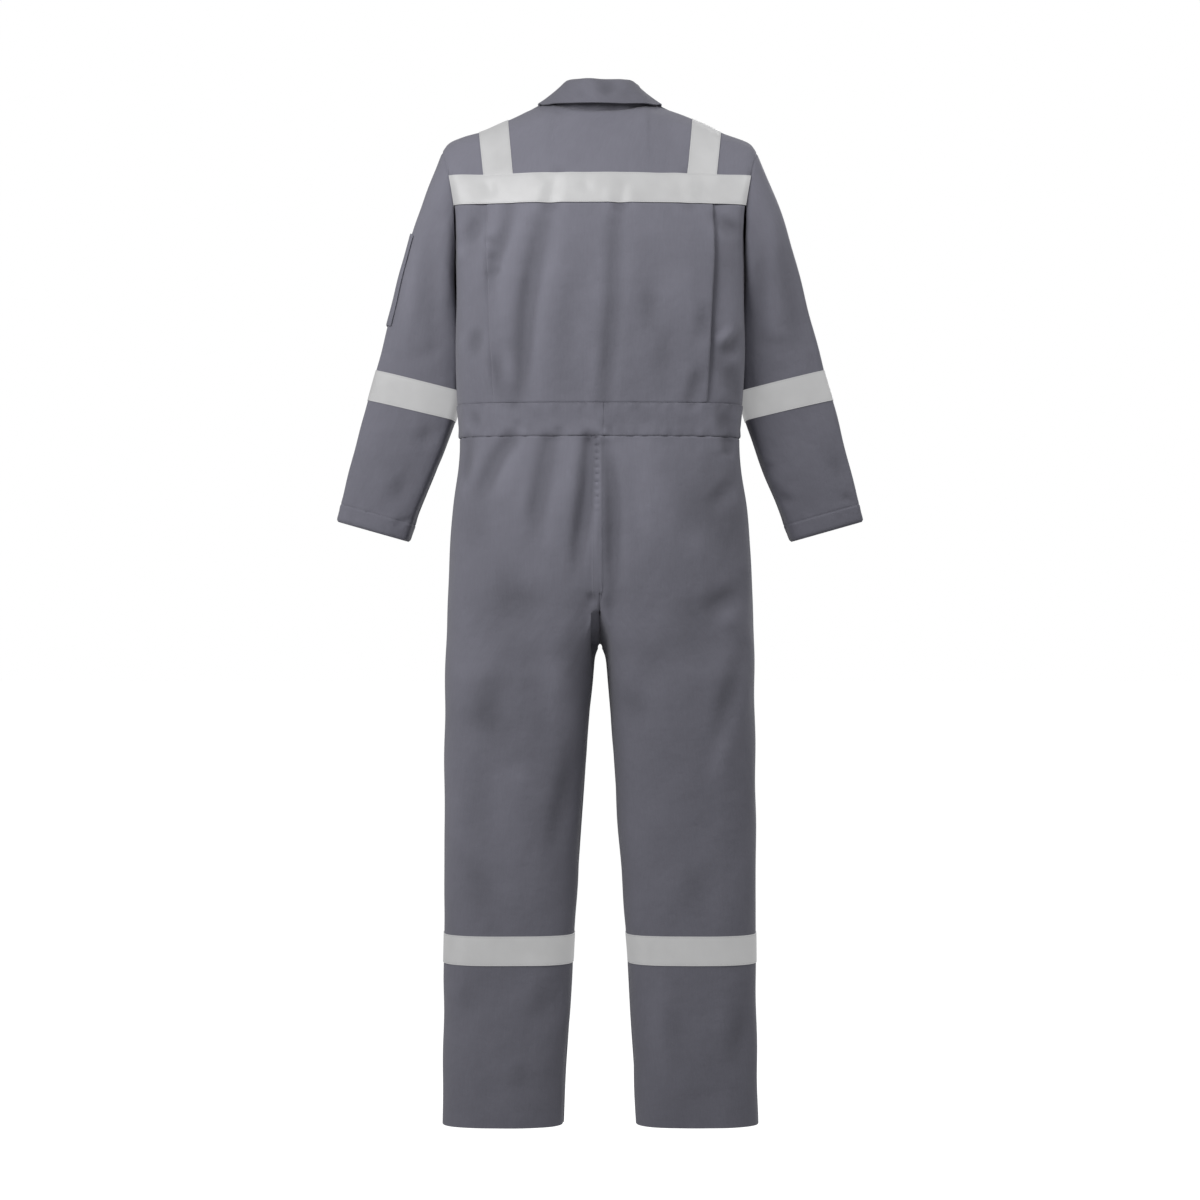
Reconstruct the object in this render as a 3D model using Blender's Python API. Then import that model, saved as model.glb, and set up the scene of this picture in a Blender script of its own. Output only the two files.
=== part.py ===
"""Boiler suit with reflective tape, hollow and filled out as on a wearer who stands upright.

Units are metres and +Z is up. The suit's front faces -Y, its back faces +Y and the wearer's
left is +X. The origin lies between the shoulders at the height of the nape, where a wearer
holds the suit up. Neck, cuffs and trouser hems are open and the inside is empty.

One surface, the form of the filled-out suit, is laid first, through level sections of the body,
rings round the legs and rings round the sleeves. Every piece of cloth is then cut out of that
surface along its seams and given its wall. Tapes, pocket and placket are cut out of the same
surface and moved outwards, so that they lie on the cloth under them.
"""

import math
from typing import Callable, NamedTuple

import bmesh
import bpy
import numpy as np
from mathutils import Vector
from mathutils.bvhtree import BVHTree

# Cloth
CLOTH = 0.0018
TAPE = 0.0009
COLLAR_CLOTH = 0.0022
SEAM_GAP = 0.0003
WELD = 0.00002

# Heights of the seams and edges
NAPE_Z = -0.016
NECK_FRONT_Z = -0.075
TAPE_TOP_Z = -0.121
TAPE_BOTTOM_Z = -0.171
UNDERARM_Z = -0.2620
WAIST_TOP_Z = -0.4955
WAIST_BOTTOM_Z = -0.5495
FORK_Z = -0.83
LEG_TAPE_TOP_Z = -1.362
LEG_TAPE_BOTTOM_Z = -1.410
HEM_Z = -1.676

# Neck hole
NECK_HALF_WIDTH = 0.084
NECK_BACK_Y = 0.058
NECK_FRONT_Y = -0.083
NECK_ROUND = 1.7
RIDGE_Y = -0.003

# Shoulder line from the neck to the sleeve, its heights over distance from the centre line
SHOULDER_X = (0.084, 0.102, 0.1155, 0.1955, 0.2376, 0.2590)
SHOULDER_Z = (0.004, -0.003, -0.0075, -0.0415, -0.0620, -0.0780)
SHOULDER_ROUND = 1.7
CREST_X = (0.220, 0.240)

# Shape of the row between the pleat line and the armhole, and of the crotch seam
CORNER = 0.72
CROTCH_DROP = 0.055
CROTCH_OPENING = 0.6
CLEFT_WIDTH = 0.040
FRONT_CLEFT = 0.8
FORK_ANGLE = 150.0

LEFT, RIGHT = 1, -1
BACK, FRONT = 1, -1

CLOTH_COLOUR = (0.150, 0.150, 0.178)
CLOTH_ROUGHNESS = 0.85
TAPE_COLOUR = (0.56, 0.56, 0.58)
TAPE_ROUGHNESS = 0.45


class Level(NamedTuple):
    """A level section of the body: a rounded box, open in the middle."""

    z: float
    half_width: float
    back: float
    front: float
    back_squareness: float
    cleft: float = 0.0


BODY = (
    Level(z=UNDERARM_Z, half_width=0.2385, back=0.124, front=0.118, back_squareness=2.8),
    Level(z=-0.3300, half_width=0.2380, back=0.125, front=0.122, back_squareness=2.8),
    Level(z=-0.4000, half_width=0.2380, back=0.121, front=0.123, back_squareness=2.7),
    Level(z=-0.4550, half_width=0.2372, back=0.116, front=0.121, back_squareness=2.6),
    Level(z=WAIST_TOP_Z, half_width=0.2350, back=0.113, front=0.118, back_squareness=2.5),
    Level(z=WAIST_BOTTOM_Z, half_width=0.2310, back=0.112, front=0.117, back_squareness=2.5),
    Level(z=-0.6000, half_width=0.2335, back=0.120, front=0.120, back_squareness=2.5),
    Level(z=-0.6600, half_width=0.2430, back=0.129, front=0.122, back_squareness=2.5),
    Level(z=-0.7300, half_width=0.2475, back=0.134, front=0.121, back_squareness=2.5, cleft=0.003),
    Level(z=-0.7900, half_width=0.2505, back=0.134, front=0.118, back_squareness=2.5, cleft=0.014),
    Level(z=FORK_Z, half_width=0.2520, back=0.129, front=0.113, back_squareness=2.5, cleft=0.043),
)
FRONT_SQUARENESS = 2.3
# Rows of the table above that lie on the upper and the lower waist seam
WAIST_ROW = 4
HIP_ROW = 5


class LegRing(NamedTuple):
    """A level ring round the left leg, from the inside of the leg to its outside."""

    z: float
    inner: float
    outer: float
    back: float
    front: float


LEG = (
    LegRing(z=-0.9500, inner=0.0128, outer=0.2545, back=0.114, front=0.104),
    LegRing(z=-1.0300, inner=0.0195, outer=0.2555, back=0.104, front=0.098),
    LegRing(z=-1.1200, inner=0.0258, outer=0.2565, back=0.096, front=0.094),
    LegRing(z=-1.2100, inner=0.0322, outer=0.2568, back=0.091, front=0.090),
    LegRing(z=-1.2900, inner=0.0377, outer=0.2568, back=0.088, front=0.085),
    LegRing(z=LEG_TAPE_TOP_Z, inner=0.0425, outer=0.2568, back=0.085, front=0.081),
    LegRing(z=LEG_TAPE_BOTTOM_Z, inner=0.0454, outer=0.2571, back=0.083, front=0.078),
    LegRing(z=-1.5000, inner=0.0500, outer=0.2577, back=0.079, front=0.075),
    LegRing(z=-1.5900, inner=0.0560, outer=0.2588, back=0.075, front=0.072),
    LegRing(z=HEM_Z, inner=0.0595, outer=0.2600, back=0.071, front=0.070),
)
LEG_SQUARENESS = 2.2
FORK_ROWS = (0.0, 0.33, 0.67, 1.0)
CROTCH_SHARES = (0.0, 0.5)
LEG_TAPE_RING = 5


class SleeveRing(NamedTuple):
    """A ring round the left sleeve, given by its outer and inner point and its reach in depth."""

    out_x: float
    out_z: float
    in_x: float
    in_z: float
    mid_y: float
    depth: float
    bow: float = 0.0


SLEEVE = (
    SleeveRing(out_x=0.2590, out_z=-0.0780, in_x=0.2385, in_z=-0.2620, mid_y=0.000, depth=0.068, bow=0.0105),
    SleeveRing(out_x=0.2755, out_z=-0.1180, in_x=0.2394, in_z=-0.2800, mid_y=-0.005, depth=0.077, bow=0.0050),
    SleeveRing(out_x=0.2940, out_z=-0.1670, in_x=0.2386, in_z=-0.2970, mid_y=-0.012, depth=0.082, bow=0.0010),
    SleeveRing(out_x=0.3091, out_z=-0.2123, in_x=0.2372, in_z=-0.3150, mid_y=-0.020, depth=0.083),
    SleeveRing(out_x=0.3303, out_z=-0.2839, in_x=0.2330, in_z=-0.3520, mid_y=-0.032, depth=0.080),
    SleeveRing(out_x=0.3515, out_z=-0.3627, in_x=0.2310, in_z=-0.4020, mid_y=-0.040, depth=0.074),
    SleeveRing(out_x=0.3711, out_z=-0.4358, in_x=0.2330, in_z=-0.4700, mid_y=-0.046, depth=0.068),
    SleeveRing(out_x=0.3856, out_z=-0.4849, in_x=0.2425, in_z=-0.5180, mid_y=-0.052, depth=0.065),
    SleeveRing(out_x=0.4072, out_z=-0.5634, in_x=0.2718, in_z=-0.5977, mid_y=-0.058, depth=0.060),
    SleeveRing(out_x=0.4246, out_z=-0.6279, in_x=0.2988, in_z=-0.6623, mid_y=-0.063, depth=0.056),
    SleeveRing(out_x=0.4388, out_z=-0.6844, in_x=0.3193, in_z=-0.7183, mid_y=-0.067, depth=0.052),
)
# Angles round the armhole, from the underarm to the shoulder point. The fourth and fifth
# angle put a row of the body on the lower and the upper edge of the chest tape.
ARMHOLE_ANGLES = (180.0, 142.7, 119.6, 91.2, 58.9, 31.0, 14.0, 0.0)
# Below the chest tape the sleeve is laid this far off the body, whose side it hangs against
UNDERARM_SPREAD = 0.0006
UNDERARM_FROM = 90.0
POCKET_RINGS = range(3, 5)
POCKET_BACK_COLUMN = 5
POCKET_FRONT_COLUMN = 4
SLEEVE_TAPE_RING = 6


class Station(NamedTuple):
    """Distance from the centre line of a line that runs down the body, at four heights."""

    shoulder: float
    chest: float
    waist: float
    fork: float


BACK_STATIONS = (
    Station(shoulder=0.0000, chest=0.0000, waist=0.000, fork=0.000),
    Station(shoulder=0.0420, chest=0.0420, waist=0.040, fork=0.022),
    Station(shoulder=0.0727, chest=0.0720, waist=0.070, fork=0.047),
    Station(shoulder=0.0840, chest=0.0960, waist=0.092, fork=0.074),
    Station(shoulder=0.1180, chest=0.1190, waist=0.112, fork=0.101),
    Station(shoulder=0.1515, chest=0.1395, waist=0.130, fork=0.128),
    Station(shoulder=0.1755, chest=0.1641, waist=0.150, fork=0.154),
    Station(shoulder=0.1993, chest=0.1887, waist=0.174, fork=0.180),
)
FRONT_STATIONS = (
    Station(shoulder=0.0000, chest=0.0000, waist=0.000, fork=0.000),
    Station(shoulder=0.0280, chest=0.0280, waist=0.028, fork=0.020),
    Station(shoulder=0.0645, chest=0.0645, waist=0.062, fork=0.045),
) + BACK_STATIONS[3:]
NECK_STATION = 3
TAPE_STATIONS = range(5, 7)
UNDERLAP_STATION = 6
PLEAT_STATION = 7
SIDE_STATION = 10
CREST_ALONG = (0.28, 0.56)


class Fold(NamedTuple):
    """A soft trough in the cloth, from its upper to its lower end."""

    face: int
    top_x: float
    top_z: float
    low_x: float
    low_z: float
    depth: float
    width: float


FOLDS = (
    Fold(BACK, top_x=0.085, top_z=-0.180, low_x=0.138, low_z=-0.470, depth=0.0040, width=0.022),
    Fold(BACK, top_x=0.149, top_z=-0.180, low_x=0.172, low_z=-0.300, depth=0.0030, width=0.018),
    Fold(BACK, top_x=-0.030, top_z=-0.180, low_x=-0.012, low_z=-0.470, depth=0.0035, width=0.022),
    Fold(BACK, top_x=0.016, top_z=-0.556, low_x=0.041, low_z=-0.765, depth=0.0050, width=0.020),
    Fold(BACK, top_x=0.145, top_z=-0.556, low_x=0.206, low_z=-0.660, depth=0.0050, width=0.020),
    Fold(BACK, top_x=-0.215, top_z=-0.562, low_x=-0.190, low_z=-0.670, depth=0.0040, width=0.022),
    Fold(BACK, top_x=0.146, top_z=-0.910, low_x=0.190, low_z=-1.010, depth=0.0050, width=0.026),
    Fold(BACK, top_x=-0.236, top_z=-0.900, low_x=-0.180, low_z=-1.080, depth=0.0050, width=0.026),
    Fold(BACK, top_x=0.040, top_z=-1.010, low_x=0.092, low_z=-1.290, depth=0.0040, width=0.022),
    Fold(FRONT, top_x=0.120, top_z=-0.200, low_x=0.090, low_z=-0.450, depth=0.0040, width=0.024),
    Fold(FRONT, top_x=-0.125, top_z=-0.200, low_x=-0.095, low_z=-0.430, depth=0.0040, width=0.024),
    Fold(FRONT, top_x=0.150, top_z=-0.860, low_x=0.060, low_z=-0.960, depth=0.0045, width=0.024),
    Fold(FRONT, top_x=-0.140, top_z=-0.870, low_x=-0.060, low_z=-0.950, depth=0.0045, width=0.024),
)
FOLD_END = 0.030
FOLD_LIMIT_X = 0.24
FOLD_FACING = 0.3


class Cell(NamedTuple):
    """The place of one quad of the form."""

    region: str
    side: int
    face: int
    row: int
    column: int


class Collar(NamedTuple):
    """One place round the collar: its turn from the nape, the roll line and the fall's edge."""

    turn: float
    roll: tuple[float, float, float]
    edge: tuple[float, float, float]


COLLAR = (
    Collar(turn=0, roll=(0.0000, 0.0500, 0.0370), edge=(0.0000, 0.0740, -0.0080)),
    Collar(turn=15, roll=(0.0180, 0.0485, 0.0370), edge=(0.0265, 0.0715, -0.0075)),
    Collar(turn=30, roll=(0.0355, 0.0420, 0.0370), edge=(0.0525, 0.0615, -0.0055)),
    Collar(turn=45, roll=(0.0505, 0.0310, 0.0370), edge=(0.0760, 0.0440, -0.0020)),
    Collar(turn=60, roll=(0.0610, 0.0160, 0.0360), edge=(0.0935, 0.0230, 0.0000)),
    Collar(turn=75, roll=(0.0685, 0.0000, 0.0305), edge=(0.1010, 0.0030, 0.0000)),
    Collar(turn=90, roll=(0.0700, -0.0160, 0.0220), edge=(0.1020, -0.0180, -0.0050)),
    Collar(turn=110, roll=(0.0655, -0.0370, 0.0050), edge=(0.0975, -0.0460, -0.0260)),
    Collar(turn=130, roll=(0.0540, -0.0560, -0.0150), edge=(0.0850, -0.0690, -0.0500)),
    Collar(turn=145, roll=(0.0420, -0.0690, -0.0310), edge=(0.0760, -0.0850, -0.0720)),
    Collar(turn=160.5, roll=(0.0240, -0.0800, -0.0460), edge=(0.0670, -0.0955, -0.0920)),
    Collar(turn=176, roll=(0.0060, -0.0860, -0.0550), edge=(0.0560, -0.1020, -0.1080)),
)
# Turns at which a line that runs down the body meets the neck seam
NECK_TURNS = (0.0, 30.0, 60.0, 90.0, 129.8, 160.5, 180.0)
STAND_FOOT = 0.0012
STAND_HEAD = 0.0060
FALL_LINES = (0.0, 0.12, 0.5, 1.0)
FALL_CLEARANCE = 0.0058
ROLL_BULGE = 0.0045


def mirrored(row: np.ndarray, side: int) -> np.ndarray:
    """The same points on the wearer's left or right."""
    return row * np.array((side, 1.0, 1.0))


def column(table: tuple, name: str, z: float) -> float:
    """The value of one column of a table of levels at a height between its rows."""
    heights = [-row.z for row in table]
    return float(np.interp(-z, heights, [getattr(row, name) for row in table]))


def power(value: np.ndarray, exponent: float) -> np.ndarray:
    """A power that keeps the sign of its base."""
    return np.sign(value) * np.abs(value) ** exponent


def station_x(face: int, z: float) -> np.ndarray:
    """Distances of the lines between the centre and the pleat, at one height of the body."""
    stations = BACK_STATIONS if face == BACK else FRONT_STATIONS
    heights = (-TAPE_BOTTOM_Z, -WAIST_TOP_Z, -FORK_Z)
    return np.array([np.interp(-z, heights, (s.chest, s.waist, s.fork)) for s in stations])


def body_row(z: float, face: int) -> np.ndarray:
    """Points of a level section, from the centre line to the side seam."""
    half_width = column(BODY, "half_width", z)
    facing = "back" if face == BACK else "front"
    depth = column(BODY, facing, z)
    exponent = column(BODY, "back_squareness", z) if face == BACK else FRONT_SQUARENESS
    cleft = column(BODY, "cleft", z) * (1.0 if face == BACK else FRONT_CLEFT)
    angles = [math.acos((x / half_width) ** (exponent / 2)) for x in station_x(face, z)]
    angles += [angles[-1] * 2 / 3, angles[-1] / 3, 0.0]
    x = half_width * power(np.cos(angles), 2 / exponent)
    y = depth * power(np.sin(angles), 2 / exponent)
    x[0] = 0.0
    y[-1] = 0.0
    y -= cleft * np.exp(-((x / CLEFT_WIDTH) ** 2))
    return np.column_stack((x, face * y, np.full_like(x, z)))


def sleeve_point(ring: SleeveRing, angle: float, face: int) -> np.ndarray:
    """A point of one ring round the left sleeve."""
    turn = math.radians(angle)
    outwards = (1 + math.cos(turn)) / 2
    x = ring.in_x + (ring.out_x - ring.in_x) * outwards - ring.bow * math.sin(turn) ** 2
    z = ring.in_z + (ring.out_z - ring.in_z) * outwards
    y = ring.mid_y + face * ring.depth * math.sin(turn)
    return np.array((x, y, z))


def neck_point(turn: float) -> np.ndarray:
    """A point of the left half of the neck seam, by its turn from the nape in degrees."""
    inwards = math.cos(math.radians(turn))
    back = inwards > 0
    x = NECK_HALF_WIDTH * math.sin(math.radians(turn))
    y = RIDGE_Y + abs(inwards) * ((NECK_BACK_Y if back else NECK_FRONT_Y) - RIDGE_Y)
    drop = SHOULDER_Z[0] - (NAPE_Z if back else NECK_FRONT_Z)
    return np.array((x, y, SHOULDER_Z[0] - drop * abs(inwards) ** NECK_ROUND))


def top_row(face: int) -> np.ndarray:
    """Points of the neck seam and the shoulder line, from the centre line to the armhole."""
    stations = BACK_STATIONS if face == BACK else FRONT_STATIONS
    x = np.array([s.shoulder for s in stations] + [*CREST_X, SHOULDER_X[-1]])
    z = np.interp(x, SHOULDER_X, SHOULDER_Z)
    y = np.interp(x, (SHOULDER_X[0], SHOULDER_X[-1]), (RIDGE_Y, 0.0))
    row = np.column_stack((x, y, z))
    for i in range(NECK_STATION):
        turn = math.degrees(math.asin(x[i] / NECK_HALF_WIDTH))
        row[i] = neck_point(turn if face == BACK else 180 - turn)
    return row


def upper_row(angle: float, face: int) -> np.ndarray:
    """Points of the row that meets the armhole at the given angle, from the centre line outwards."""
    base = body_row(UNDERARM_Z, face)
    top = top_row(face)
    arm = sleeve_point(SLEEVE[0], angle, face)
    share = max(0.0, (arm[2] - TAPE_TOP_Z) / (SLEEVE[0].out_z - TAPE_TOP_Z))
    inside = slice(0, PLEAT_STATION + 1)
    z = np.full_like(top[inside, 2], arm[2])
    if share > 0:
        z = TAPE_TOP_Z + (top[inside, 2] - TAPE_TOP_Z) * share
    rise = (z - UNDERARM_Z) / (top[inside, 2] - UNDERARM_Z)
    lean = np.clip((z - TAPE_BOTTOM_Z) / (top[inside, 2] - TAPE_BOTTOM_Z), 0, 1)
    level_x = station_x(face, UNDERARM_Z)
    x = level_x + (top[inside, 0] - level_x) * lean
    rounding = (1 - np.clip(rise, 0, 1) ** SHOULDER_ROUND) ** (1 / SHOULDER_ROUND)
    y = top[inside, 1] + (base[inside, 1] - top[inside, 1]) * rounding
    row = np.column_stack((x, y, z))

    def crest(start: np.ndarray, end: np.ndarray, share_along: float) -> np.ndarray:
        corner = np.array((end[0], end[1] + (start[1] - end[1]) * CORNER, (start[2] + end[2]) / 2))
        back = 1 - share_along
        return start * back**2 + corner * 2 * back * share_along + end * share_along**2

    rows = list(row)
    for station, along in enumerate(CREST_ALONG, PLEAT_STATION + 1):
        at_base = base[station] - crest(base[PLEAT_STATION], base[SIDE_STATION], along)
        rows.append(crest(row[-1], arm, along) + at_base * (1 - rise[-1]) ** 2)
    rows.append(arm)
    return np.array(rows)


def leg_row(ring: LegRing, face: int) -> np.ndarray:
    """Points of a leg ring, from the inseam over the fork line to the side seam."""
    inner_angles = (180.0, (180.0 + FORK_ANGLE) / 2)
    outer_angles = [FORK_ANGLE * (1 - i / SIDE_STATION) for i in range(SIDE_STATION + 1)]
    turn = np.radians(np.array([*inner_angles, *outer_angles]))
    half_width = (ring.outer - ring.inner) / 2
    depth = ring.back if face == BACK else ring.front
    x = ring.inner + half_width + half_width * power(np.cos(turn), 2 / LEG_SQUARENESS)
    y = depth * power(np.sin(turn), 2 / LEG_SQUARENESS)
    y[0] = y[-1] = 0.0
    return np.column_stack((x, face * y, np.full_like(x, ring.z)))


def crotch_points(face: int) -> list[np.ndarray]:
    """Points of the left half of the crotch seam, from the inseam to the fork."""
    reach = abs(body_row(FORK_Z, face)[0][1])
    points = []
    for share in CROTCH_SHARES:
        z = FORK_Z - CROTCH_DROP * (1 - share**2)
        points.append(np.array((SEAM_GAP / 2, face * reach * share, z)))
    return points


def fork_row(share: float, face: int) -> np.ndarray:
    """Points of a row between the crotch seam and the first ring of the leg."""
    top = np.array(crotch_points(face) + list(body_row(FORK_Z, face)))
    low = leg_row(LEG[0], face)
    ease = share * share * (3 - 2 * share)
    row = top + (low - top) * share
    inner = len(CROTCH_SHARES)
    row[:inner, 0] = top[:inner, 0] + (low - top)[:inner, 0] * share**CROTCH_OPENING
    row[inner:, :2] = top[inner:, :2] + (low - top)[inner:, :2] * ease
    return row


def quarter(region: str, face: int) -> list[np.ndarray]:
    """Rows of the left quarter of one region of the form, on its back or front face."""
    if region == "upper":
        return [upper_row(angle, face) for angle in ARMHOLE_ANGLES]
    if region == "waist":
        return [body_row(level.z, face) for level in BODY[: WAIST_ROW + 1]]
    if region == "band":
        return [body_row(level.z, face) for level in BODY[WAIST_ROW : HIP_ROW + 1]]
    if region == "seat":
        return [body_row(level.z, face) for level in BODY[HIP_ROW:]]
    if region == "fork":
        return [fork_row(share, face) for share in FORK_ROWS]
    if region == "leg":
        return [leg_row(ring, face) for ring in LEG]
    rings = [np.array([sleeve_point(ring, a, face) for a in ARMHOLE_ANGLES]) for ring in SLEEVE]
    for point, angle in zip(rings[0], ARMHOLE_ANGLES):
        point[0] += UNDERARM_SPREAD if angle > UNDERARM_FROM else 0.0
    return rings


REGIONS = ("upper", "waist", "band", "seat", "fork", "leg", "sleeve")
# Least share of a full turn that a corner of a piece's edge is taken to have
SHARPEST_CORNER = 0.35


class Form:
    """The outer surface of the filled-out suit, as triangles that know their place."""

    def __init__(self) -> None:
        self.mesh = bmesh.new()
        self.cell = self.mesh.faces.layers.int.new("cell")
        self.station = self.mesh.verts.layers.int.new("station")
        self.out = self.mesh.verts.layers.float_vector.new("out")
        self.cells: list[Cell] = []
        for region in REGIONS:
            for face in (BACK, FRONT):
                rows = quarter(region, face)
                for side in (LEFT, RIGHT):
                    self.lay(region, side, face, [mirrored(row, side) for row in rows])
        bmesh.ops.remove_doubles(self.mesh, verts=self.mesh.verts[:], dist=WELD)
        bmesh.ops.recalc_face_normals(self.mesh, faces=self.mesh.faces[:])
        self.mesh.normal_update()
        self.crease()
        bmesh.ops.triangulate(self.mesh, faces=self.mesh.faces[:], quad_method="SHORT_EDGE")
        self.mesh.normal_update()
        for vert in self.mesh.verts:
            vert[self.out] = vert.normal

    def lay(self, region: str, side: int, face: int, rows: list[np.ndarray]) -> None:
        """Adds one quarter of a region as quads."""
        grid = [[self.mesh.verts.new(point) for point in row] for row in rows]
        for row in grid:
            for station, vert in enumerate(row):
                vert[self.station] = station
        for r in range(len(grid) - 1):
            for c in range(len(grid[r]) - 1):
                start, along, across, down = grid[r][c], grid[r][c + 1], grid[r + 1][c + 1], grid[r + 1][c]
                if side * face < 0:
                    along, down = down, along
                quad = self.mesh.faces.new((start, along, across, down))
                quad[self.cell] = len(self.cells)
                self.cells.append(Cell(region, side, face, r, c))

    def crease(self) -> None:
        """Presses the soft folds into the surface, away from seams that lie close together."""
        moves = []
        for vert in self.mesh.verts:
            depth = sum(fold_depth(fold, vert.co, vert.normal) for fold in FOLDS)
            moves.append(vert.normal * -depth)
        for vert, move in zip(self.mesh.verts, moves):
            vert.co += move


def fold_depth(fold: Fold, point: Vector, normal: Vector) -> float:
    """How deep one fold presses the surface in at a point."""
    if normal.y * fold.face < FOLD_FACING or abs(point.x) > FOLD_LIMIT_X:
        return 0.0
    start = Vector((fold.top_x, fold.top_z))
    run = Vector((fold.low_x, fold.low_z)) - start
    here = Vector((point.x, point.z)) - start
    along = here.dot(run.normalized())
    across = (here - run.normalized() * along).length
    past = max(0.0, -along, along - run.length)
    if past > FOLD_END:
        return 0.0
    return fold.depth * math.exp(-((across / fold.width) ** 2)) * (1 - past / FOLD_END)


def give_wall(sheet: bmesh.types.BMesh, wall: float) -> None:
    """Closes a sheet to a wall whose inner face lies against the way that each corner faces out."""
    out = sheet.verts.layers.float_vector["out"]
    inner = bmesh.ops.extrude_face_region(sheet, geom=sheet.faces[:], use_keep_orig=True)
    for item in inner["geom"]:
        if isinstance(item, bmesh.types.BMVert):
            item.co -= item[out] * wall
    bmesh.ops.triangulate(sheet, faces=sheet.faces[:], quad_method="SHORT_EDGE")
    bmesh.ops.recalc_face_normals(sheet, faces=sheet.faces[:])


def edge_pull(vert: bmesh.types.BMVert) -> Vector:
    """The way a boundary corner moves so that both of its edges move in by one unit."""
    pulls = []
    for edge in vert.link_edges:
        if not edge.is_boundary:
            continue
        face = edge.link_faces[0]
        along = (edge.verts[1].co - edge.verts[0].co).normalized()
        inwards = face.normal.cross(along)
        if inwards.dot(face.calc_center_median() - edge.verts[0].co) < 0:
            inwards.negate()
        pulls.append(inwards)
    if not pulls:
        return Vector((0.0, 0.0, 0.0))
    total = sum(pulls, Vector((0.0, 0.0, 0.0)))
    spread = 1 + pulls[0].dot(pulls[-1]) if len(pulls) > 1 else 1.0
    return total / max(spread, SHARPEST_CORNER)


def cut_piece(form: Form, wanted: Callable[[Cell], bool], lift: Callable[[int], float], wall: float):
    """Cuts a piece out of the form and gives it its wall.

    The piece's edge is pulled in by half the seam gap, its outer face is moved outwards by
    lift, which depends on the station, and its inner face lies one wall further in.
    """
    piece = form.mesh.copy()
    cell = piece.faces.layers.int["cell"]
    station = piece.verts.layers.int["station"]
    out = piece.verts.layers.float_vector["out"]
    spare = [face for face in piece.faces if not wanted(form.cells[face[cell]])]
    bmesh.ops.delete(piece, geom=spare, context="FACES")
    piece.normal_update()
    pulls = {vert: edge_pull(vert) * (SEAM_GAP / 2) for vert in piece.verts if vert.is_boundary}
    for vert in piece.verts:
        pull = pulls.get(vert, Vector((0.0, 0.0, 0.0)))
        vert.co += vert[out] * lift(vert[station]) + pull
    give_wall(piece, wall)
    return piece


def both_sides(left: list[np.ndarray]) -> list[Vector]:
    """A line of the collar from the right front over the nape to the left front."""
    right = [mirrored(point, RIGHT) for point in left[:0:-1]]
    return [Vector(point) for point in right + left]


def collar_lines(form: Form) -> tuple[list[Vector], list[Vector], list[Vector]]:
    """The neck seam, the roll line and the fall's edge, which rests on the shoulders."""
    cloth = BVHTree.FromBMesh(form.mesh)
    edge = both_sides([np.array(place.edge) for place in COLLAR])
    for point in edge:
        nearest, _normal, _index, distance = cloth.find_nearest(point)
        if distance < FALL_CLEARANCE:
            point += (point - nearest).normalized() * (FALL_CLEARANCE - distance)
    corners = np.array([neck_point(turn) for turn in NECK_TURNS])
    turns = [place.turn for place in COLLAR]
    seam = both_sides(list(np.column_stack([np.interp(turns, NECK_TURNS, axis) for axis in corners.T])))
    return seam, both_sides([np.array(place.roll) for place in COLLAR]), edge


def collar_wall(lines: list[list[Vector]], wall: float):
    """A collar piece through the given lines, with its wall laid to its inner side."""
    piece = bmesh.new()
    out = piece.verts.layers.float_vector.new("out")
    grid = [[piece.verts.new(point) for point in line] for line in lines]
    for r in range(len(grid) - 1):
        for c in range(len(grid[r]) - 1):
            piece.faces.new((grid[r][c], grid[r][c + 1], grid[r + 1][c + 1], grid[r + 1][c]))
    bmesh.ops.triangulate(piece, faces=piece.faces[:])
    piece.normal_update()
    nape = grid[0][len(grid[0]) // 2]
    outwards = 1 if nape.normal.y > 0 else -1
    for vert in piece.verts:
        vert[out] = vert.normal * outwards
    give_wall(piece, wall)
    return piece


def collar_stand(seam: list[Vector], roll: list[Vector]):
    """The stand, from just above the neck seam to just under the roll of the fall."""
    foot = [point + Vector((0.0, 0.0, STAND_FOOT)) for point in seam]
    head = [high - (high - low).normalized() * STAND_HEAD for low, high in zip(seam, roll)]
    return collar_wall([foot, [a.lerp(b, 0.5) for a, b in zip(foot, head)], head], COLLAR_CLOTH)


def collar_fall(seam: list[Vector], roll: list[Vector], edge: list[Vector]):
    """The fall, rolled over the top of the stand and hanging clear of it to its edge."""
    lines = []
    for share in FALL_LINES:
        line = []
        for low, top, end in zip(seam, roll, edge):
            away = Vector((end.x - low.x, end.y - low.y, 0.0)).normalized()
            bulge = ROLL_BULGE if 0 < share < 1 else 0.0
            line.append(top.lerp(end, share) + away * bulge)
        lines.append(line)
    return collar_wall(lines, COLLAR_CLOTH)


def cloth_material(name: str, colour: tuple[float, float, float], roughness: float):
    """A plain material in the colour of the piece."""
    material = bpy.data.materials.new(name)
    material.use_nodes = True
    shader = material.node_tree.nodes["Principled BSDF"]
    shader.inputs["Base Color"].default_value = (*colour, 1.0)
    shader.inputs["Roughness"].default_value = roughness
    shader.inputs["Metallic"].default_value = 0.0
    material.diffuse_color = (*colour, 1.0)
    return material


def add_object(name: str, piece: bmesh.types.BMesh, colour: tuple[float, float, float], roughness: float):
    """Makes a piece an object of the scene."""
    mesh = bpy.data.meshes.new(name)
    piece.to_mesh(mesh)
    piece.free()
    mesh.materials.append(cloth_material(name, colour, roughness))
    bpy.context.scene.collection.objects.link(bpy.data.objects.new(name, mesh))


def flat(_station: int) -> float:
    """No lift: the piece's outer face lies in the form."""
    return 0.0


def on_cloth(_station: int) -> float:
    """The lift of a piece of cloth that lies on the suit."""
    return SEAM_GAP + CLOTH


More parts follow.
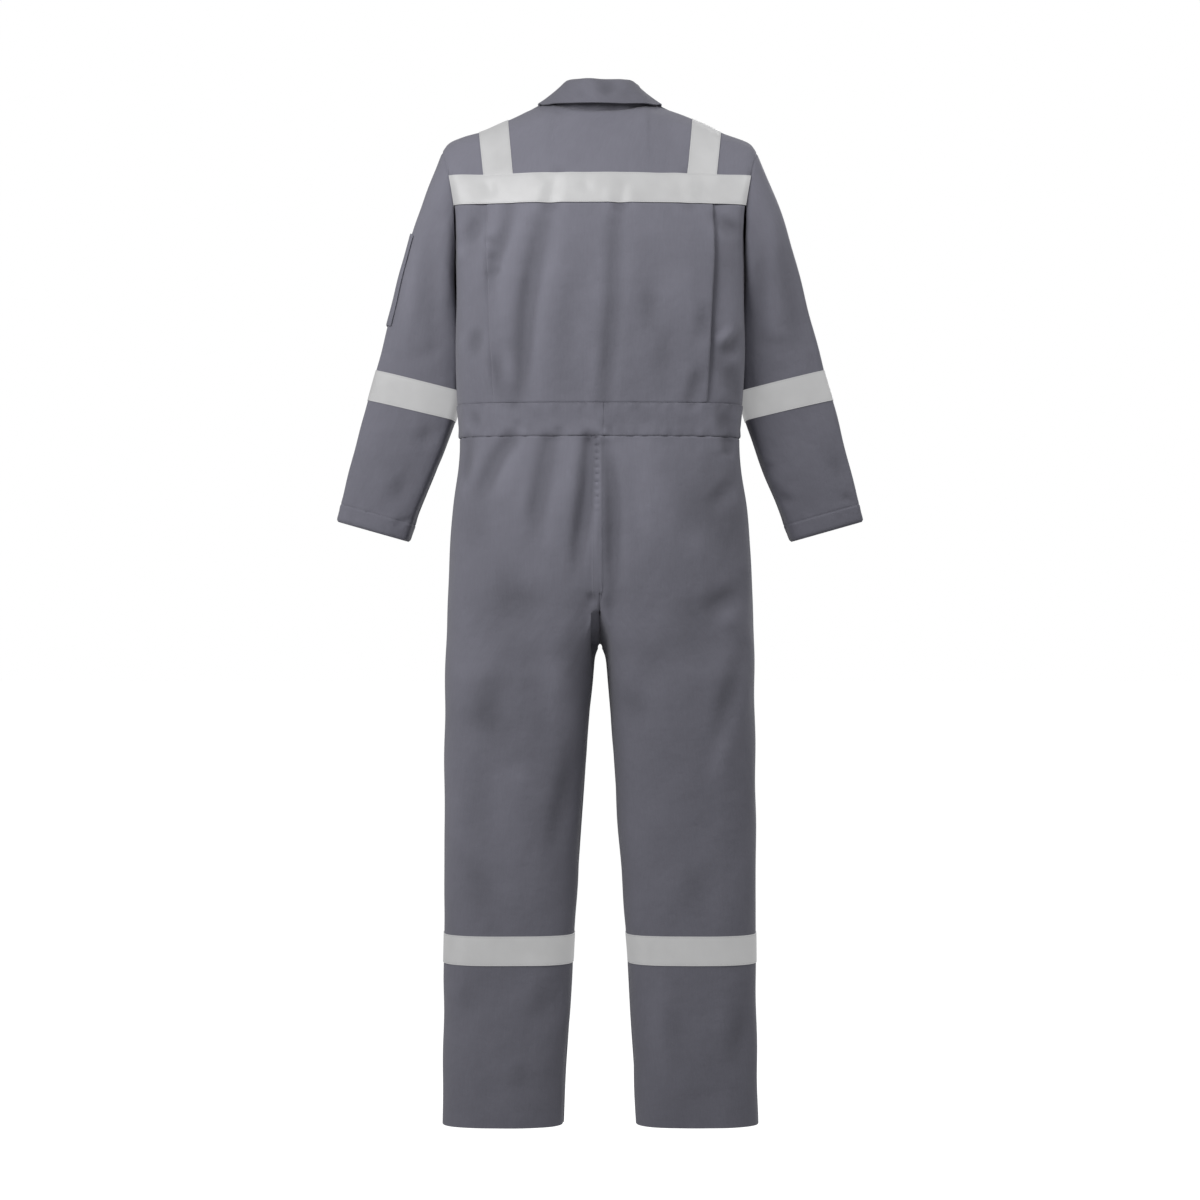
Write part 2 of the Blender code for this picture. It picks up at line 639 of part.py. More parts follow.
def tape_lift(_station: int) -> float:
    """The lift of a tape that lies on the cloth."""
    return SEAM_GAP + TAPE


def underlap(station: int) -> float:
    """A side back panel runs under the centre panel, one wall further in, at the pleat."""
    return -(CLOTH + SEAM_GAP) if station <= PLEAT_STATION else 0.0


YOKE_ROWS = range(3, 7)
CHEST_TAPE_ROW = 3
SHOULDER_TAPE_ROWS = range(4, 7)
PLACKET_TOP_ROW = 6
PLACKET_END_ROW = 4


def on_yoke(c: Cell) -> bool:
    """The yoke covers the back from the chest tape's lower edge to the shoulder line."""
    return c.region == "upper" and c.face == BACK and c.row in YOKE_ROWS


def on_back(c: Cell) -> bool:
    """The back between the yoke and the waistband."""
    return c.face == BACK and c.region in ("upper", "waist") and not on_yoke(c)


def on_front(c: Cell) -> bool:
    """The fronts between the neck, the shoulder line and the waistband."""
    return c.face == FRONT and c.region in ("upper", "waist")


def on_placket(c: Cell) -> bool:
    """The placket lies on the first column at the front, down to above the crotch."""
    rows = {"upper": PLACKET_TOP_ROW, "waist": WAIST_ROW, "band": 1, "seat": PLACKET_END_ROW}
    return c.face == FRONT and c.column == 0 and c.row < rows.get(c.region, 0)


def on_pocket(c: Cell) -> bool:
    """The patch pocket on the outer side of the left sleeve, most of it on the front."""
    first_column = POCKET_BACK_COLUMN if c.face == BACK else POCKET_FRONT_COLUMN
    return c.region == "sleeve" and c.side == LEFT and c.row in POCKET_RINGS and c.column >= first_column


def build() -> None:
    """Cuts every piece of the suit out of its form."""
    form = Form()

    def sew(name, wanted, lift=flat, wall=CLOTH, colour=CLOTH_COLOUR, roughness=CLOTH_ROUGHNESS):
        add_object(name, cut_piece(form, wanted, lift, wall), colour, roughness)

    def tape(name, wanted):
        sew(name, wanted, tape_lift, TAPE, TAPE_COLOUR, TAPE_ROUGHNESS)

    seam, roll, edge = collar_lines(form)
    add_object("collar_stand", collar_stand(seam, roll), CLOTH_COLOUR, CLOTH_ROUGHNESS)
    add_object("collar_fall", collar_fall(seam, roll, edge), CLOTH_COLOUR, CLOTH_ROUGHNESS)
    sew("back_yoke", on_yoke)
    sew("back_centre", lambda c: on_back(c) and c.column < PLEAT_STATION)
    sew("front_placket", on_placket, on_cloth)
    tape("tape_back", lambda c: c.region == "upper" and c.face == BACK and c.row == CHEST_TAPE_ROW)
    for side, word in ((LEFT, "left"), (RIGHT, "right")):

        def here(c, region, side=side):
            return c.side == side and c.region == region

        sew(
            f"back_side_{word}",
            lambda c: c.side == side and on_back(c) and c.column >= UNDERLAP_STATION,
            underlap,
        )
        sew(f"front_{word}", lambda c: c.side == side and on_front(c))
        for face, facing in ((BACK, "back"), (FRONT, "front")):
            sew(f"waistband_{facing}_{word}", lambda c: here(c, "band") and c.face == face)
            sew(
                f"trouser_{facing}_{word}",
                lambda c: c.side == side and c.face == face and c.region in ("seat", "fork", "leg"),
            )
        sew(f"sleeve_{word}", lambda c: here(c, "sleeve"))
        tape(
            f"tape_front_{word}",
            lambda c: here(c, "upper") and c.face == FRONT and c.row == CHEST_TAPE_ROW and c.column > 0,
        )
        tape(
            f"tape_shoulder_{word}",
            lambda c: here(c, "upper") and c.row in SHOULDER_TAPE_ROWS and c.column in TAPE_STATIONS,
        )
        tape(f"tape_sleeve_{word}", lambda c: here(c, "sleeve") and c.row == SLEEVE_TAPE_RING)
        tape(f"tape_leg_{word}", lambda c: here(c, "leg") and c.row == LEG_TAPE_RING)
    sew(
        "sleeve_pocket",
        on_pocket,
        on_cloth,
    )
    form.mesh.free()


for item in list(bpy.data.objects):
    bpy.data.objects.remove(item, do_unlink=True)
build()
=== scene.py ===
"""Boiler suit with reflective tape: the finish of every piece of cloth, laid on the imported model.

Units are metres and +Z is up. The suit's back faces +Y and the wearer's left is +X. The suit is
filled out and hollow, and hangs from the wearer's shoulders, where the origin is.

The outer form of the suit's left half is five smooth surfaces: the back and the front of the
torso, the back and the front of a trouser leg, and a sleeve. Each piece of cloth is a fine sheet
on one or two of them, between its own seams, draped with soft folds and given a thin wall.
"""

from __future__ import annotations

import logging
import math
from collections.abc import Iterable, Sequence
from dataclasses import dataclass
from enum import Enum
from typing import NamedTuple

import bmesh
import bpy
import numpy as np
from mathutils import Matrix, Vector
from mathutils.bvhtree import BVHTree

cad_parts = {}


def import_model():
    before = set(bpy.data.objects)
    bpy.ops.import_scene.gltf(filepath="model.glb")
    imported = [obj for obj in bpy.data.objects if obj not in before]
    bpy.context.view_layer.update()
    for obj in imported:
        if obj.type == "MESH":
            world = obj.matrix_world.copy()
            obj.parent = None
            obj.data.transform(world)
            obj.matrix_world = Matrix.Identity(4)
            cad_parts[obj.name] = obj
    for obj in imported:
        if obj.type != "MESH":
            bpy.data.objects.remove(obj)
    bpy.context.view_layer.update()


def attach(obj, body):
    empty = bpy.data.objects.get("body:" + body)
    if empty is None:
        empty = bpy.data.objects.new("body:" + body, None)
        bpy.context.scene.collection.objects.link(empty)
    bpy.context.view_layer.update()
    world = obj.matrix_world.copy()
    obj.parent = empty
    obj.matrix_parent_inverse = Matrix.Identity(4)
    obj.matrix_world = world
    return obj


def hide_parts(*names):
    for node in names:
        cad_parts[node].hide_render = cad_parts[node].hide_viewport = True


log = logging.getLogger("boiler_suit")

Pair = tuple[float, float]
Socket = bpy.types.NodeSocket
Values = dict[str | int, object]

BODY_NAME = "root"
# Name of the mesh attribute that carries painted light into the cloth's colour: painted shade in
# fold troughs, at the neck seam and over the collar, and a painted highlight on fold ridges.
PAINTED_LIGHT = "wear"
WHITE = (1.0, 1.0, 1.0, 1.0)

# Cloth and tape
CLOTH = 0.0018
TAPE = 0.0009
COLLAR_CLOTH = 0.0022
SEAM_GAP = 0.0003
CELL = 0.0050
TAPE_CELL = 0.0040
SEAM_LINES = (0.0008, 0.0022, 0.0040)

# Heights of the seams and edges
NAPE_Z = -0.016
NECK_FRONT_Z = -0.075
TAPE_TOP_Z = -0.121
TAPE_BOTTOM_Z = -0.171
UNDERARM_Z = -0.2620
WAIST_TOP_Z = -0.4955
WAIST_BOTTOM_Z = -0.5495
FORK_Z = -0.83
LEG_TAPE_TOP_Z = -1.362
LEG_TAPE_BOTTOM_Z = -1.410
HEM_Z = -1.676

# Neck hole and shoulder line
NECK_HALF_WIDTH = 0.084
NECK_BACK_Y = 0.058
NECK_FRONT_Y = -0.083
NECK_ROUND = 1.7
RIDGE_Y = -0.003
SHOULDER_X = (0.084, 0.102, 0.1155, 0.1955, 0.2376, 0.2590)
SHOULDER_Z = (0.004, -0.003, -0.0075, -0.0415, -0.0620, -0.0780)
SHOULDER_ROUND = 1.7
CREST_X = (0.220, 0.240)
CREST_ALONG = (0.28, 0.56)

# Row between the pleat line and the armhole, and the crotch seam
CORNER = 0.72
CROTCH_DROP = 0.055
CROTCH_OPENING = 0.38
CLEFT_WIDTH = 0.032
FRONT_CLEFT = 0.8
FORK_ANGLE = 150.0
FORK_SHARES = (0.0, 0.33, 0.67, 1.0)
CROTCH_SHARES = (0.0, 0.5)
FRONT_SQUARENESS = 2.3
LEG_SQUARENESS = 2.8


class Zone(Enum):
    """The stretches of cloth that have folds of their own."""

    BODY_BACK = "body_back"
    BODY_FRONT = "body_front"
    SLEEVE = "sleeve"
    COLLAR = "collar"


class Named(Enum):
    """A choice that stands in the names of pieces."""

    @property
    def word(self) -> str:
        """The choice as the names have it."""
        return self.name.lower()


class Side(Named):
    """The wearer's left or right, as the sign of X."""

    LEFT = 1
    RIGHT = -1


class Face(Named):
    """The back or the front of the suit, as the sign of Y."""

    BACK = 1
    FRONT = -1

    @property
    def other(self) -> Face:
        """The opposite face."""
        return Face(-self.value)

    @property
    def zone(self) -> Zone:
        """The zone of folds on this face of the body."""
        return Zone.BODY_BACK if self is Face.BACK else Zone.BODY_FRONT


class Slot(Enum):
    """The material slots of the record."""

    CLOTH = "suit_cloth"
    TAPE = "reflective_tape"


class Level(NamedTuple):
    """A level section of the body: a rounded box, open in the middle."""

    z: float
    half_width: float
    back: float
    front: float
    back_squareness: float
    cleft: float = 0.0


BODY = (
    Level(UNDERARM_Z, 0.2385, 0.124, 0.118, 3.2),
    Level(-0.3300, 0.2380, 0.125, 0.122, 3.2),
    Level(-0.4000, 0.2380, 0.121, 0.123, 3.1),
    Level(-0.4550, 0.2372, 0.116, 0.121, 3.0),
    Level(WAIST_TOP_Z, 0.2350, 0.113, 0.118, 2.9),
    Level(WAIST_BOTTOM_Z, 0.2310, 0.112, 0.117, 2.9),
    Level(-0.6000, 0.2335, 0.120, 0.120, 2.9),
    Level(-0.6600, 0.2430, 0.127, 0.122, 2.9),
    Level(-0.7300, 0.2475, 0.1305, 0.121, 2.9, 0.001),
    Level(-0.7900, 0.2505, 0.1300, 0.118, 2.9, 0.004),
    Level(FORK_Z, 0.2520, 0.1278, 0.113, 2.9, 0.018),
)


class LegRing(NamedTuple):
    """A level ring round the left leg, from the inside of the leg to its outside."""

    z: float
    inner: float
    outer: float
    back: float
    front: float


LEG = (
    LegRing(-0.9500, 0.0128, 0.2545, 0.1180, 0.104),
    LegRing(-1.0300, 0.0195, 0.2555, 0.1085, 0.098),
    LegRing(-1.1200, 0.0258, 0.2565, 0.0990, 0.094),
    LegRing(-1.2100, 0.0322, 0.2568, 0.091, 0.090),
    LegRing(-1.2900, 0.0377, 0.2568, 0.088, 0.085),
    LegRing(LEG_TAPE_TOP_Z, 0.0425, 0.2568, 0.085, 0.081),
    LegRing(LEG_TAPE_BOTTOM_Z, 0.0454, 0.2571, 0.083, 0.078),
    LegRing(-1.5000, 0.0500, 0.2577, 0.079, 0.075),
    LegRing(-1.5900, 0.0560, 0.2588, 0.075, 0.072),
    LegRing(HEM_Z, 0.0595, 0.2600, 0.071, 0.070),
)


class SleeveRing(NamedTuple):
    """A ring round the left sleeve, given by its outer and inner point and its reach in depth."""

    out_x: float
    out_z: float
    in_x: float
    in_z: float
    mid_y: float
    depth: float
    bow: float
    roundness: float


SLEEVE = (
    SleeveRing(0.2590, -0.0780, 0.2385, -0.2620, 0.000, 0.068, 0.0105, 0.90),
    SleeveRing(0.2755, -0.1180, 0.2366, -0.2800, -0.005, 0.077, 0.0050, 0.70),
    SleeveRing(0.2940, -0.1670, 0.2362, -0.2970, -0.012, 0.082, 0.0010, 0.52),
    SleeveRing(0.3091, -0.2123, 0.2352, -0.3150, -0.020, 0.083, 0.0, 0.40),
    SleeveRing(0.3303, -0.2839, 0.2330, -0.3520, -0.032, 0.080, 0.0, 0.32),
    SleeveRing(0.3515, -0.3627, 0.2310, -0.4020, -0.040, 0.074, 0.0, 0.27),
    SleeveRing(0.3711, -0.4358, 0.2330, -0.4700, -0.046, 0.068, 0.0, 0.25),
    SleeveRing(0.3856, -0.4849, 0.2425, -0.5180, -0.052, 0.065, 0.0, 0.24),
    SleeveRing(0.4072, -0.5634, 0.2718, -0.5977, -0.058, 0.060, 0.0, 0.24),
    SleeveRing(0.4246, -0.6279, 0.2988, -0.6623, -0.063, 0.056, 0.0, 0.24),
    SleeveRing(0.4388, -0.6844, 0.3193, -0.7183, -0.067, 0.052, 0.0, 0.24),
)
# Angles round the armhole, from the shoulder point to the underarm. Two of them put a row of
# the torso on the upper and the lower edge of the chest tape.
ARMHOLE_ANGLES = (0.0, 14.0, 31.0, 58.9, 91.2, 119.6, 142.7, 180.0)
# How far the same places have turned further in where the sleeve lies quite flat.
FLAT_TURN = (0.0, 0.0, 0.0, 0.0, 8.0, 28.0, 31.0, 0.0)


class Station(NamedTuple):
    """Distance from the centre line of a line that runs down the body, at four heights."""

    shoulder: float
    chest: float
    waist: float
    fork: float


BACK_STATIONS = (
    Station(0.0000, 0.0000, 0.000, 0.000),
    Station(0.0420, 0.0420, 0.040, 0.022),
    Station(0.0727, 0.0720, 0.070, 0.047),
    Station(0.0840, 0.0960, 0.092, 0.074),
    Station(0.1180, 0.1190, 0.112, 0.101),
    Station(0.1515, 0.1395, 0.130, 0.128),
    Station(0.1755, 0.1641, 0.150, 0.154),
    Station(0.1993, 0.1887, 0.174, 0.180),
)
FRONT_STATIONS = (
    Station(0.0000, 0.0000, 0.000, 0.000),
    Station(0.0280, 0.0280, 0.028, 0.020),
    Station(0.0645, 0.0645, 0.062, 0.045),
) + BACK_STATIONS[3:]

# Columns and rows of the surfaces that seams and edges run along
NECK_COLUMN = 3
SHOULDER_TAPE_COLUMNS = (5.0, 7.0)
UNDERLAP_COLUMN = 6.0
PLEAT_COLUMN = 7.0
SIDE_COLUMN = 10
PLACKET_COLUMN = 1.0
CHEST_TAPE_ROWS = (3.0, 4.0)
UNDERARM_ROW = 7
WAIST_ROW = 11.0
HIP_ROW = 12.0
FORK_ROW = 17.0
PLACKET_ROWS = (1.0, 16.0)
INNER_COLUMNS = 2
LEG_SIDE_COLUMN = SIDE_COLUMN + INNER_COLUMNS
LEG_TAPE_ROWS = (8.0, 9.0)
HEM_ROW = 12.0
SLEEVE_ROUND = 14.0
SLEEVE_TAPE_ROWS = (6.0, 7.0)
CUFF_ROW = 10.0
POCKET_ROWS = (3.0, 5.0)
POCKET_COLUMNS = (5.0, 10.0)


class Collar(NamedTuple):
    """A place round the collar, by its turn from the nape: roll line, edge and share of bulge."""

    turn: float
    roll: tuple[float, float, float]
    edge: tuple[float, float, float]
    bulge: float = 1.0


COLLAR = (
    Collar(0, (0.0000, 0.0500, 0.0365), (0.0000, 0.0740, -0.0056)),
    Collar(15, (0.0180, 0.0485, 0.0368), (0.0265, 0.0715, -0.0052)),
    Collar(30, (0.0355, 0.0420, 0.0378), (0.0525, 0.0615, -0.0038)),
    Collar(45, (0.0500, 0.0310, 0.0388), (0.0760, 0.0440, -0.0012), 0.6),
    Collar(60, (0.0582, 0.0160, 0.0362), (0.0935, 0.0230, 0.0000), 0.2),
    Collar(75, (0.0630, 0.0000, 0.0295), (0.1010, 0.0030, 0.0000), 0.1),
    Collar(90, (0.0655, -0.0160, 0.0210), (0.1020, -0.0180, -0.0050), 0.2),
    Collar(110, (0.0640, -0.0370, 0.0050), (0.0975, -0.0460, -0.0260), 0.5),
    Collar(130, (0.0540, -0.0560, -0.0150), (0.0850, -0.0690, -0.0500)),
    Collar(145, (0.0420, -0.0690, -0.0310), (0.0760, -0.0850, -0.0720)),
    Collar(160.5, (0.0240, -0.0800, -0.0460), (0.0670, -0.0955, -0.0920)),
    Collar(176, (0.0060, -0.0860, -0.0550), (0.0560, -0.1020, -0.1080)),
)
NECK_TURNS = (0.0, 30.0, 60.0, 90.0, 129.8, 160.5, 180.0)
COLLAR_END_COLUMN = 11.0


def power(value: np.ndarray, exponent: float) -> np.ndarray:
    """A power that keeps the sign of its base."""
    return np.sign(value) * np.abs(value) ** exponent


def ease(share: np.ndarray) -> np.ndarray:
    """A share between 0 and 1 that starts and ends softly."""
    held = np.clip(share, 0.0, 1.0)
    return held * held * (3.0 - 2.0 * held)


def bell(distance: np.ndarray, reach: float) -> np.ndarray:
    """1 at distance 0, falling off softly over the reach."""
    return np.exp(-((distance / reach) ** 2))


def mirrored(points: np.ndarray) -> np.ndarray:
    """The same points on the other side of the centre line."""
    return points * np.array((-1.0, 1.0, 1.0))


def run_along(points: np.ndarray) -> np.ndarray:
    """How far each point of a line lies along it."""
    steps = np.linalg.norm(np.diff(points, axis=0), axis=1)
    return np.concatenate(([0.0], np.cumsum(steps)))


def even_out(values: np.ndarray, start: int, stop: int) -> None:
    """Draws the values from start to stop towards their neighbours."""
    before, after = values[start - 1 : stop - 1], values[start + 1 : stop + 1]
    values[start:stop] = (before + 2 * values[start:stop] + after) / 4


class Surface:
    """A smooth surface through a grid of points.

    The grid holds one more row and one more column beyond each edge, which only give the surface
    its direction there. Places on the surface are counted in rows and columns of the grid, from
    its first real row and column. A negative column lies on the other side of the centre line.

    Attributes:
        grid: The points, as rows x columns x 3.
        outward: 1 where columns x rows faces out of the suit on its left half, and -1 elsewhere.
    """

    STEP = 0.03
    TINY = 1e-12
    FINE_PLACES = 600
    FEWEST_LINES = 3
    CLOSEST = SEAM_LINES[0] * 0.6

    def __init__(self, grid: np.ndarray, outward: int) -> None:
        """Keeps the grid and the sign of its outer side."""
        self.grid = grid
        self.outward = outward

    @staticmethod
    def _through(grid: np.ndarray, places: np.ndarray) -> np.ndarray:
        """Points between the grid's rows, on a smooth curve through them."""
        cell = np.clip(np.floor(places).astype(int), 0, len(grid) - 4)
        t = places - cell
        shares = (
            ((2.0 - t) * t - 1.0) * t / 2.0,
            ((3.0 * t - 5.0) * t * t + 2.0) / 2.0,
            ((4.0 - 3.0 * t) * t + 1.0) * t / 2.0,
            (t - 1.0) * t * t / 2.0,
        )
        return sum(share[:, None, None] * grid[cell + k] for k, share in enumerate(shares))

    def at(self, rows: np.ndarray, columns: np.ndarray, side: Side = Side.LEFT) -> np.ndarray:
        """The points where fine rows and columns cross.

        Args:
            rows: Places of the fine rows.
            columns: Places of the fine columns.
            side: The side of the suit.

        Returns:
            The points, as rows x columns x 3.
        """
        down = self._through(self.grid, np.asarray(rows, float))
        both = self._through(down.transpose(1, 0, 2), np.abs(columns)).transpose(1, 0, 2)
        both[..., 0] *= np.where(np.asarray(columns) < 0, -1.0, 1.0) * side.value
        return both

    def out(self, rows: np.ndarray, columns: np.ndarray, side: Side = Side.LEFT) -> np.ndarray:
        """The way the surface faces out of the suit where fine rows and columns cross."""
        step = self.STEP
        across = self.at(rows, columns + step, side) - self.at(rows, columns - step, side)
        down = self.at(rows + step, columns, side) - self.at(rows - step, columns, side)
        faces = np.cross(across, down) * self.outward * side.value
        return faces / np.maximum(np.linalg.norm(faces, axis=2, keepdims=True), self.TINY)

    def _spaced(
        self, places: np.ndarray, points: np.ndarray, cell: float, extra: Iterable[float]
    ) -> np.ndarray:
        """Picks places that lie evenly over the cloth, with a few more close to both seams.

        Args:
            places: Many places between two lines of the grid.
            points: The point of the cloth at each of them.
            cell: The distance between the picked places.
            extra: Distances of more from the start, or from the end where they are negative.

        Returns:
            The picked places, in the order of the given ones.
        """
        length = run_along(points)
        near = np.array((0.0, *SEAM_LINES))
        count = max(self.FEWEST_LINES, round(length[-1] / cell))
        inner = np.linspace(near[-1], length[-1] - near[-1], count)[1:-1]
        more = np.array(tuple(extra))
        more = np.where(more < 0, length[-1] + more, more)
        picked = np.sort(np.concatenate((near, inner, length[-1] - near, more)))
        apart = np.concatenate(([True], np.diff(picked) > self.CLOSEST))
        return np.interp(picked[apart], length, places)

    def fine_rows(
        self, rows: Pair, column: float, cell: float = CELL, extra: Iterable[float] = ()
    ) -> np.ndarray:
        """Places of the fine rows between two rows, evenly spaced down one column."""
        places = np.linspace(*rows, self.FINE_PLACES)
        return self._spaced(places, self.at(places, np.array([column]))[:, 0], cell, extra)

    def fine_columns(
        self, columns: Pair, row: float, cell: float = CELL, extra: Iterable[float] = ()
    ) -> np.ndarray:
        """Places of the fine columns between two columns, evenly spaced along one row."""
        places = np.linspace(*columns, self.FINE_PLACES)
        return self._spaced(places, self.at(np.array([row]), places)[0], cell, extra)


class Figure:
    """The form of the filled-out suit: the five smooth surfaces of its left half.

    Attributes:
        torso: The torso's back and front.
        leg: The trouser leg's back and front.
        sleeve: The sleeve, all round.
    """

    # Rows next to the neck seam: the row, its first column and how often it is evened out
    LEVELLED = ((1, 2, 1), (2, 1, 3), (3, 1, 3), (4, 1, 2))
    LEVELLED_END = 7
    UNDERARM_ROWS = (5, 10)
    UNDERARM_ROUNDS = 3

    def __init__(self) -> None:
        """Works the surfaces out from the tables of sections and rings."""
        self.torso = {face: self._torso(face) for face in Face}
        self.leg = {face: self._leg(face) for face in Face}
        self.sleeve = self._sleeve()

    @staticmethod
    def _column(name: str, z: float) -> float:
        """The value of one column of the table of levels at a height between its rows."""
        return float(np.interp(-z, [-row.z for row in BODY], [getattr(row, name) for row in BODY]))

    @staticmethod
    def _stations(face: Face) -> tuple[Station, ...]:
        """The lines that run down one face of the body."""
        return BACK_STATIONS if face is Face.BACK else FRONT_STATIONS

    def _station_x(self, face: Face, z: float) -> np.ndarray:
        """Distances of the lines between the centre and the pleat, at one height of the body."""
        heights = (-TAPE_BOTTOM_Z, -WAIST_TOP_Z, -FORK_Z)
        return np.array([np.interp(-z, heights, row[1:]) for row in self._stations(face)])

    def body_row(self, z: float, face: Face) -> np.ndarray:
        """Points of a level section, from the centre line to the side seam."""
        back = face is Face.BACK
        half_width = self._column("half_width", z)
        depth = self._column("back" if back else "front", z)
        exponent = self._column("back_squareness", z) if back else FRONT_SQUARENESS
        cleft = self._column("cleft", z) * (1.0 if back else FRONT_CLEFT)
        angles = [math.acos((x / half_width) ** (exponent / 2)) for x in self._station_x(face, z)]
        angles += [angles[-1] * 2 / 3, angles[-1] / 3, 0.0]
        x = half_width * power(np.cos(angles), 2 / exponent)
        y = depth * power(np.sin(angles), 2 / exponent)
        x[0] = 0.0
        y[-1] = 0.0
        y -= cleft * bell(x, CLEFT_WIDTH)
        return np.column_stack((x, face.value * y, np.full_like(x, z)))

    @staticmethod
    def sleeve_point(ring: SleeveRing, angle: float, face: Face) -> np.ndarray:
        """A point of one ring round the left sleeve."""
        flat = (SLEEVE[0].roundness - ring.roundness) / SLEEVE[0].roundness
        turn = math.radians(angle + flat * float(np.interp(angle, ARMHOLE_ANGLES, FLAT_TURN)))
        outwards = (1 + math.cos(turn)) / 2
        x = ring.in_x + (ring.out_x - ring.in_x) * outwards - ring.bow * math.sin(turn) ** 2
        z = ring.in_z + (ring.out_z - ring.in_z) * outwards
        y = ring.mid_y + face.value * ring.depth * abs(math.sin(turn)) ** ring.roundness
        return np.array((x, y, z))

    @staticmethod
    def neck_point(turn: float) -> np.ndarray:
        """A point of the left half of the neck seam, by its turn from the nape in degrees."""
        inwards = math.cos(math.radians(turn))
        back = inwards > 0
        x = NECK_HALF_WIDTH * math.sin(math.radians(turn))
        y = RIDGE_Y + abs(inwards) * ((NECK_BACK_Y if back else NECK_FRONT_Y) - RIDGE_Y)
        drop = SHOULDER_Z[0] - (NAPE_Z if back else NECK_FRONT_Z)
        return np.array((x, y, SHOULDER_Z[0] - drop * abs(inwards) ** NECK_ROUND))

    def _top_row(self, face: Face) -> np.ndarray:
        """Points of the neck seam and the shoulder line, from the centre line to the armhole."""
        x = np.array([s.shoulder for s in self._stations(face)] + [*CREST_X, SHOULDER_X[-1]])
        z = np.interp(x, SHOULDER_X, SHOULDER_Z)
        y = np.interp(x, (SHOULDER_X[0], SHOULDER_X[-1]), (RIDGE_Y, 0.0))
        row = np.column_stack((x, y, z))
        for i in range(NECK_COLUMN):
            turn = math.degrees(math.asin(x[i] / NECK_HALF_WIDTH))
            row[i] = self.neck_point(turn if face is Face.BACK else 180 - turn)
        return row

    def _upper_row(self, angle: float, face: Face) -> np.ndarray:
        """Points of the row that meets the armhole at an angle, from the centre line outwards."""
        base = self.body_row(UNDERARM_Z, face)
        top = self._top_row(face)
        arm = self.sleeve_point(SLEEVE[0], angle, face)
        share = max(0.0, (arm[2] - TAPE_TOP_Z) / (SLEEVE[0].out_z - TAPE_TOP_Z))
        pleat = int(PLEAT_COLUMN)
        inside = slice(0, pleat + 1)
        z = np.full_like(top[inside, 2], arm[2])
        if share > 0:
            z = TAPE_TOP_Z + (top[inside, 2] - TAPE_TOP_Z) * share
        rise = (z - UNDERARM_Z) / (top[inside, 2] - UNDERARM_Z)
        lean = np.clip((z - TAPE_BOTTOM_Z) / (top[inside, 2] - TAPE_BOTTOM_Z), 0, 1)
        level_x = self._station_x(face, UNDERARM_Z)
        x = level_x + (top[inside, 0] - level_x) * lean
        rounding = (1 - np.clip(rise, 0, 1) ** SHOULDER_ROUND) ** (1 / SHOULDER_ROUND)
        y = top[inside, 1] + (base[inside, 1] - top[inside, 1]) * rounding
        row = np.column_stack((x, y, z))

        def crest(start: np.ndarray, end: np.ndarray, along: float) -> np.ndarray:
            """A point of the round corner from the pleat line to the armhole."""
            corner_y = end[1] + (start[1] - end[1]) * CORNER
            corner = np.array((end[0], corner_y, (start[2] + end[2]) / 2))
            back = 1 - along
            return start * back**2 + corner * 2 * back * along + end * along**2

        rows = list(row)
        for station, along in enumerate(CREST_ALONG, pleat + 1):
            at_base = base[station] - crest(base[pleat], base[SIDE_COLUMN], along)
            rows.append(crest(row[-1], arm, along) + at_base * (1 - rise[-1]) ** 2)
        rows.append(arm)
        return np.array(rows)

    def _leg_row(self, ring: LegRing, face: Face) -> np.ndarray:
        """Points of a leg ring, from the inseam over the fork line to the side seam."""
        inner_angles = (180.0, (180.0 + FORK_ANGLE) / 2)
        outer_angles = [FORK_ANGLE * (1 - i / SIDE_COLUMN) for i in range(SIDE_COLUMN + 1)]
        turn = np.radians(np.array([*inner_angles, *outer_angles]))
        half_width = (ring.outer - ring.inner) / 2
        depth = ring.back if face is Face.BACK else ring.front
        x = ring.inner + half_width + half_width * power(np.cos(turn), 2 / LEG_SQUARENESS)
        y = depth * power(np.sin(turn), 2 / LEG_SQUARENESS)
        y[0] = y[-1] = 0.0
        return np.column_stack((x, face.value * y, np.full_like(x, ring.z)))

    def _fork_row(self, share: float, face: Face) -> np.ndarray:
        """Points of a row between the crotch seam and the first ring of the leg."""
        body = self.body_row(FORK_Z, face)
        reach = abs(body[0][1])
        crotch = [
            np.array((SEAM_GAP / 2, face.value * reach * s, FORK_Z - CROTCH_DROP * (1 - s**2)))
            for s in CROTCH_SHARES
        ]
        top = np.array(crotch + list(body))
        low = self._leg_row(LEG[0], face)
        inner = len(CROTCH_SHARES)
        row = top + (low - top) * share
        row[:inner, 0] = top[:inner, 0] + (low - top)[:inner, 0] * share**CROTCH_OPENING
        row[inner:, :2] = top[inner:, :2] + (low - top)[inner:, :2] * ease(np.array(share))
        row[inner, 0] = low[inner, 0] * share**CROTCH_OPENING
        return row

    def _level_out(self, rows: np.ndarray) -> None:
        """Takes the kink below the neck's corner out of the rows next to the neck seam."""
        for row, first, rounds in self.LEVELLED:
            y = rows[row, :, 1]
            for _ in range(rounds):
                even_out(y, first, self.LEVELLED_END)
                if first == 1:  # The centre line has no neighbour inwards
                    y[0] = (y[0] + y[1]) / 2

    def _soften_underarm(self, rows: np.ndarray) -> None:
        """Lets the side of the body turn smoothly under the armhole."""
        for _ in range(self.UNDERARM_ROUNDS):
            even_out(rows[:, SIDE_COLUMN - 2 : SIDE_COLUMN, 1], *self.UNDERARM_ROWS)

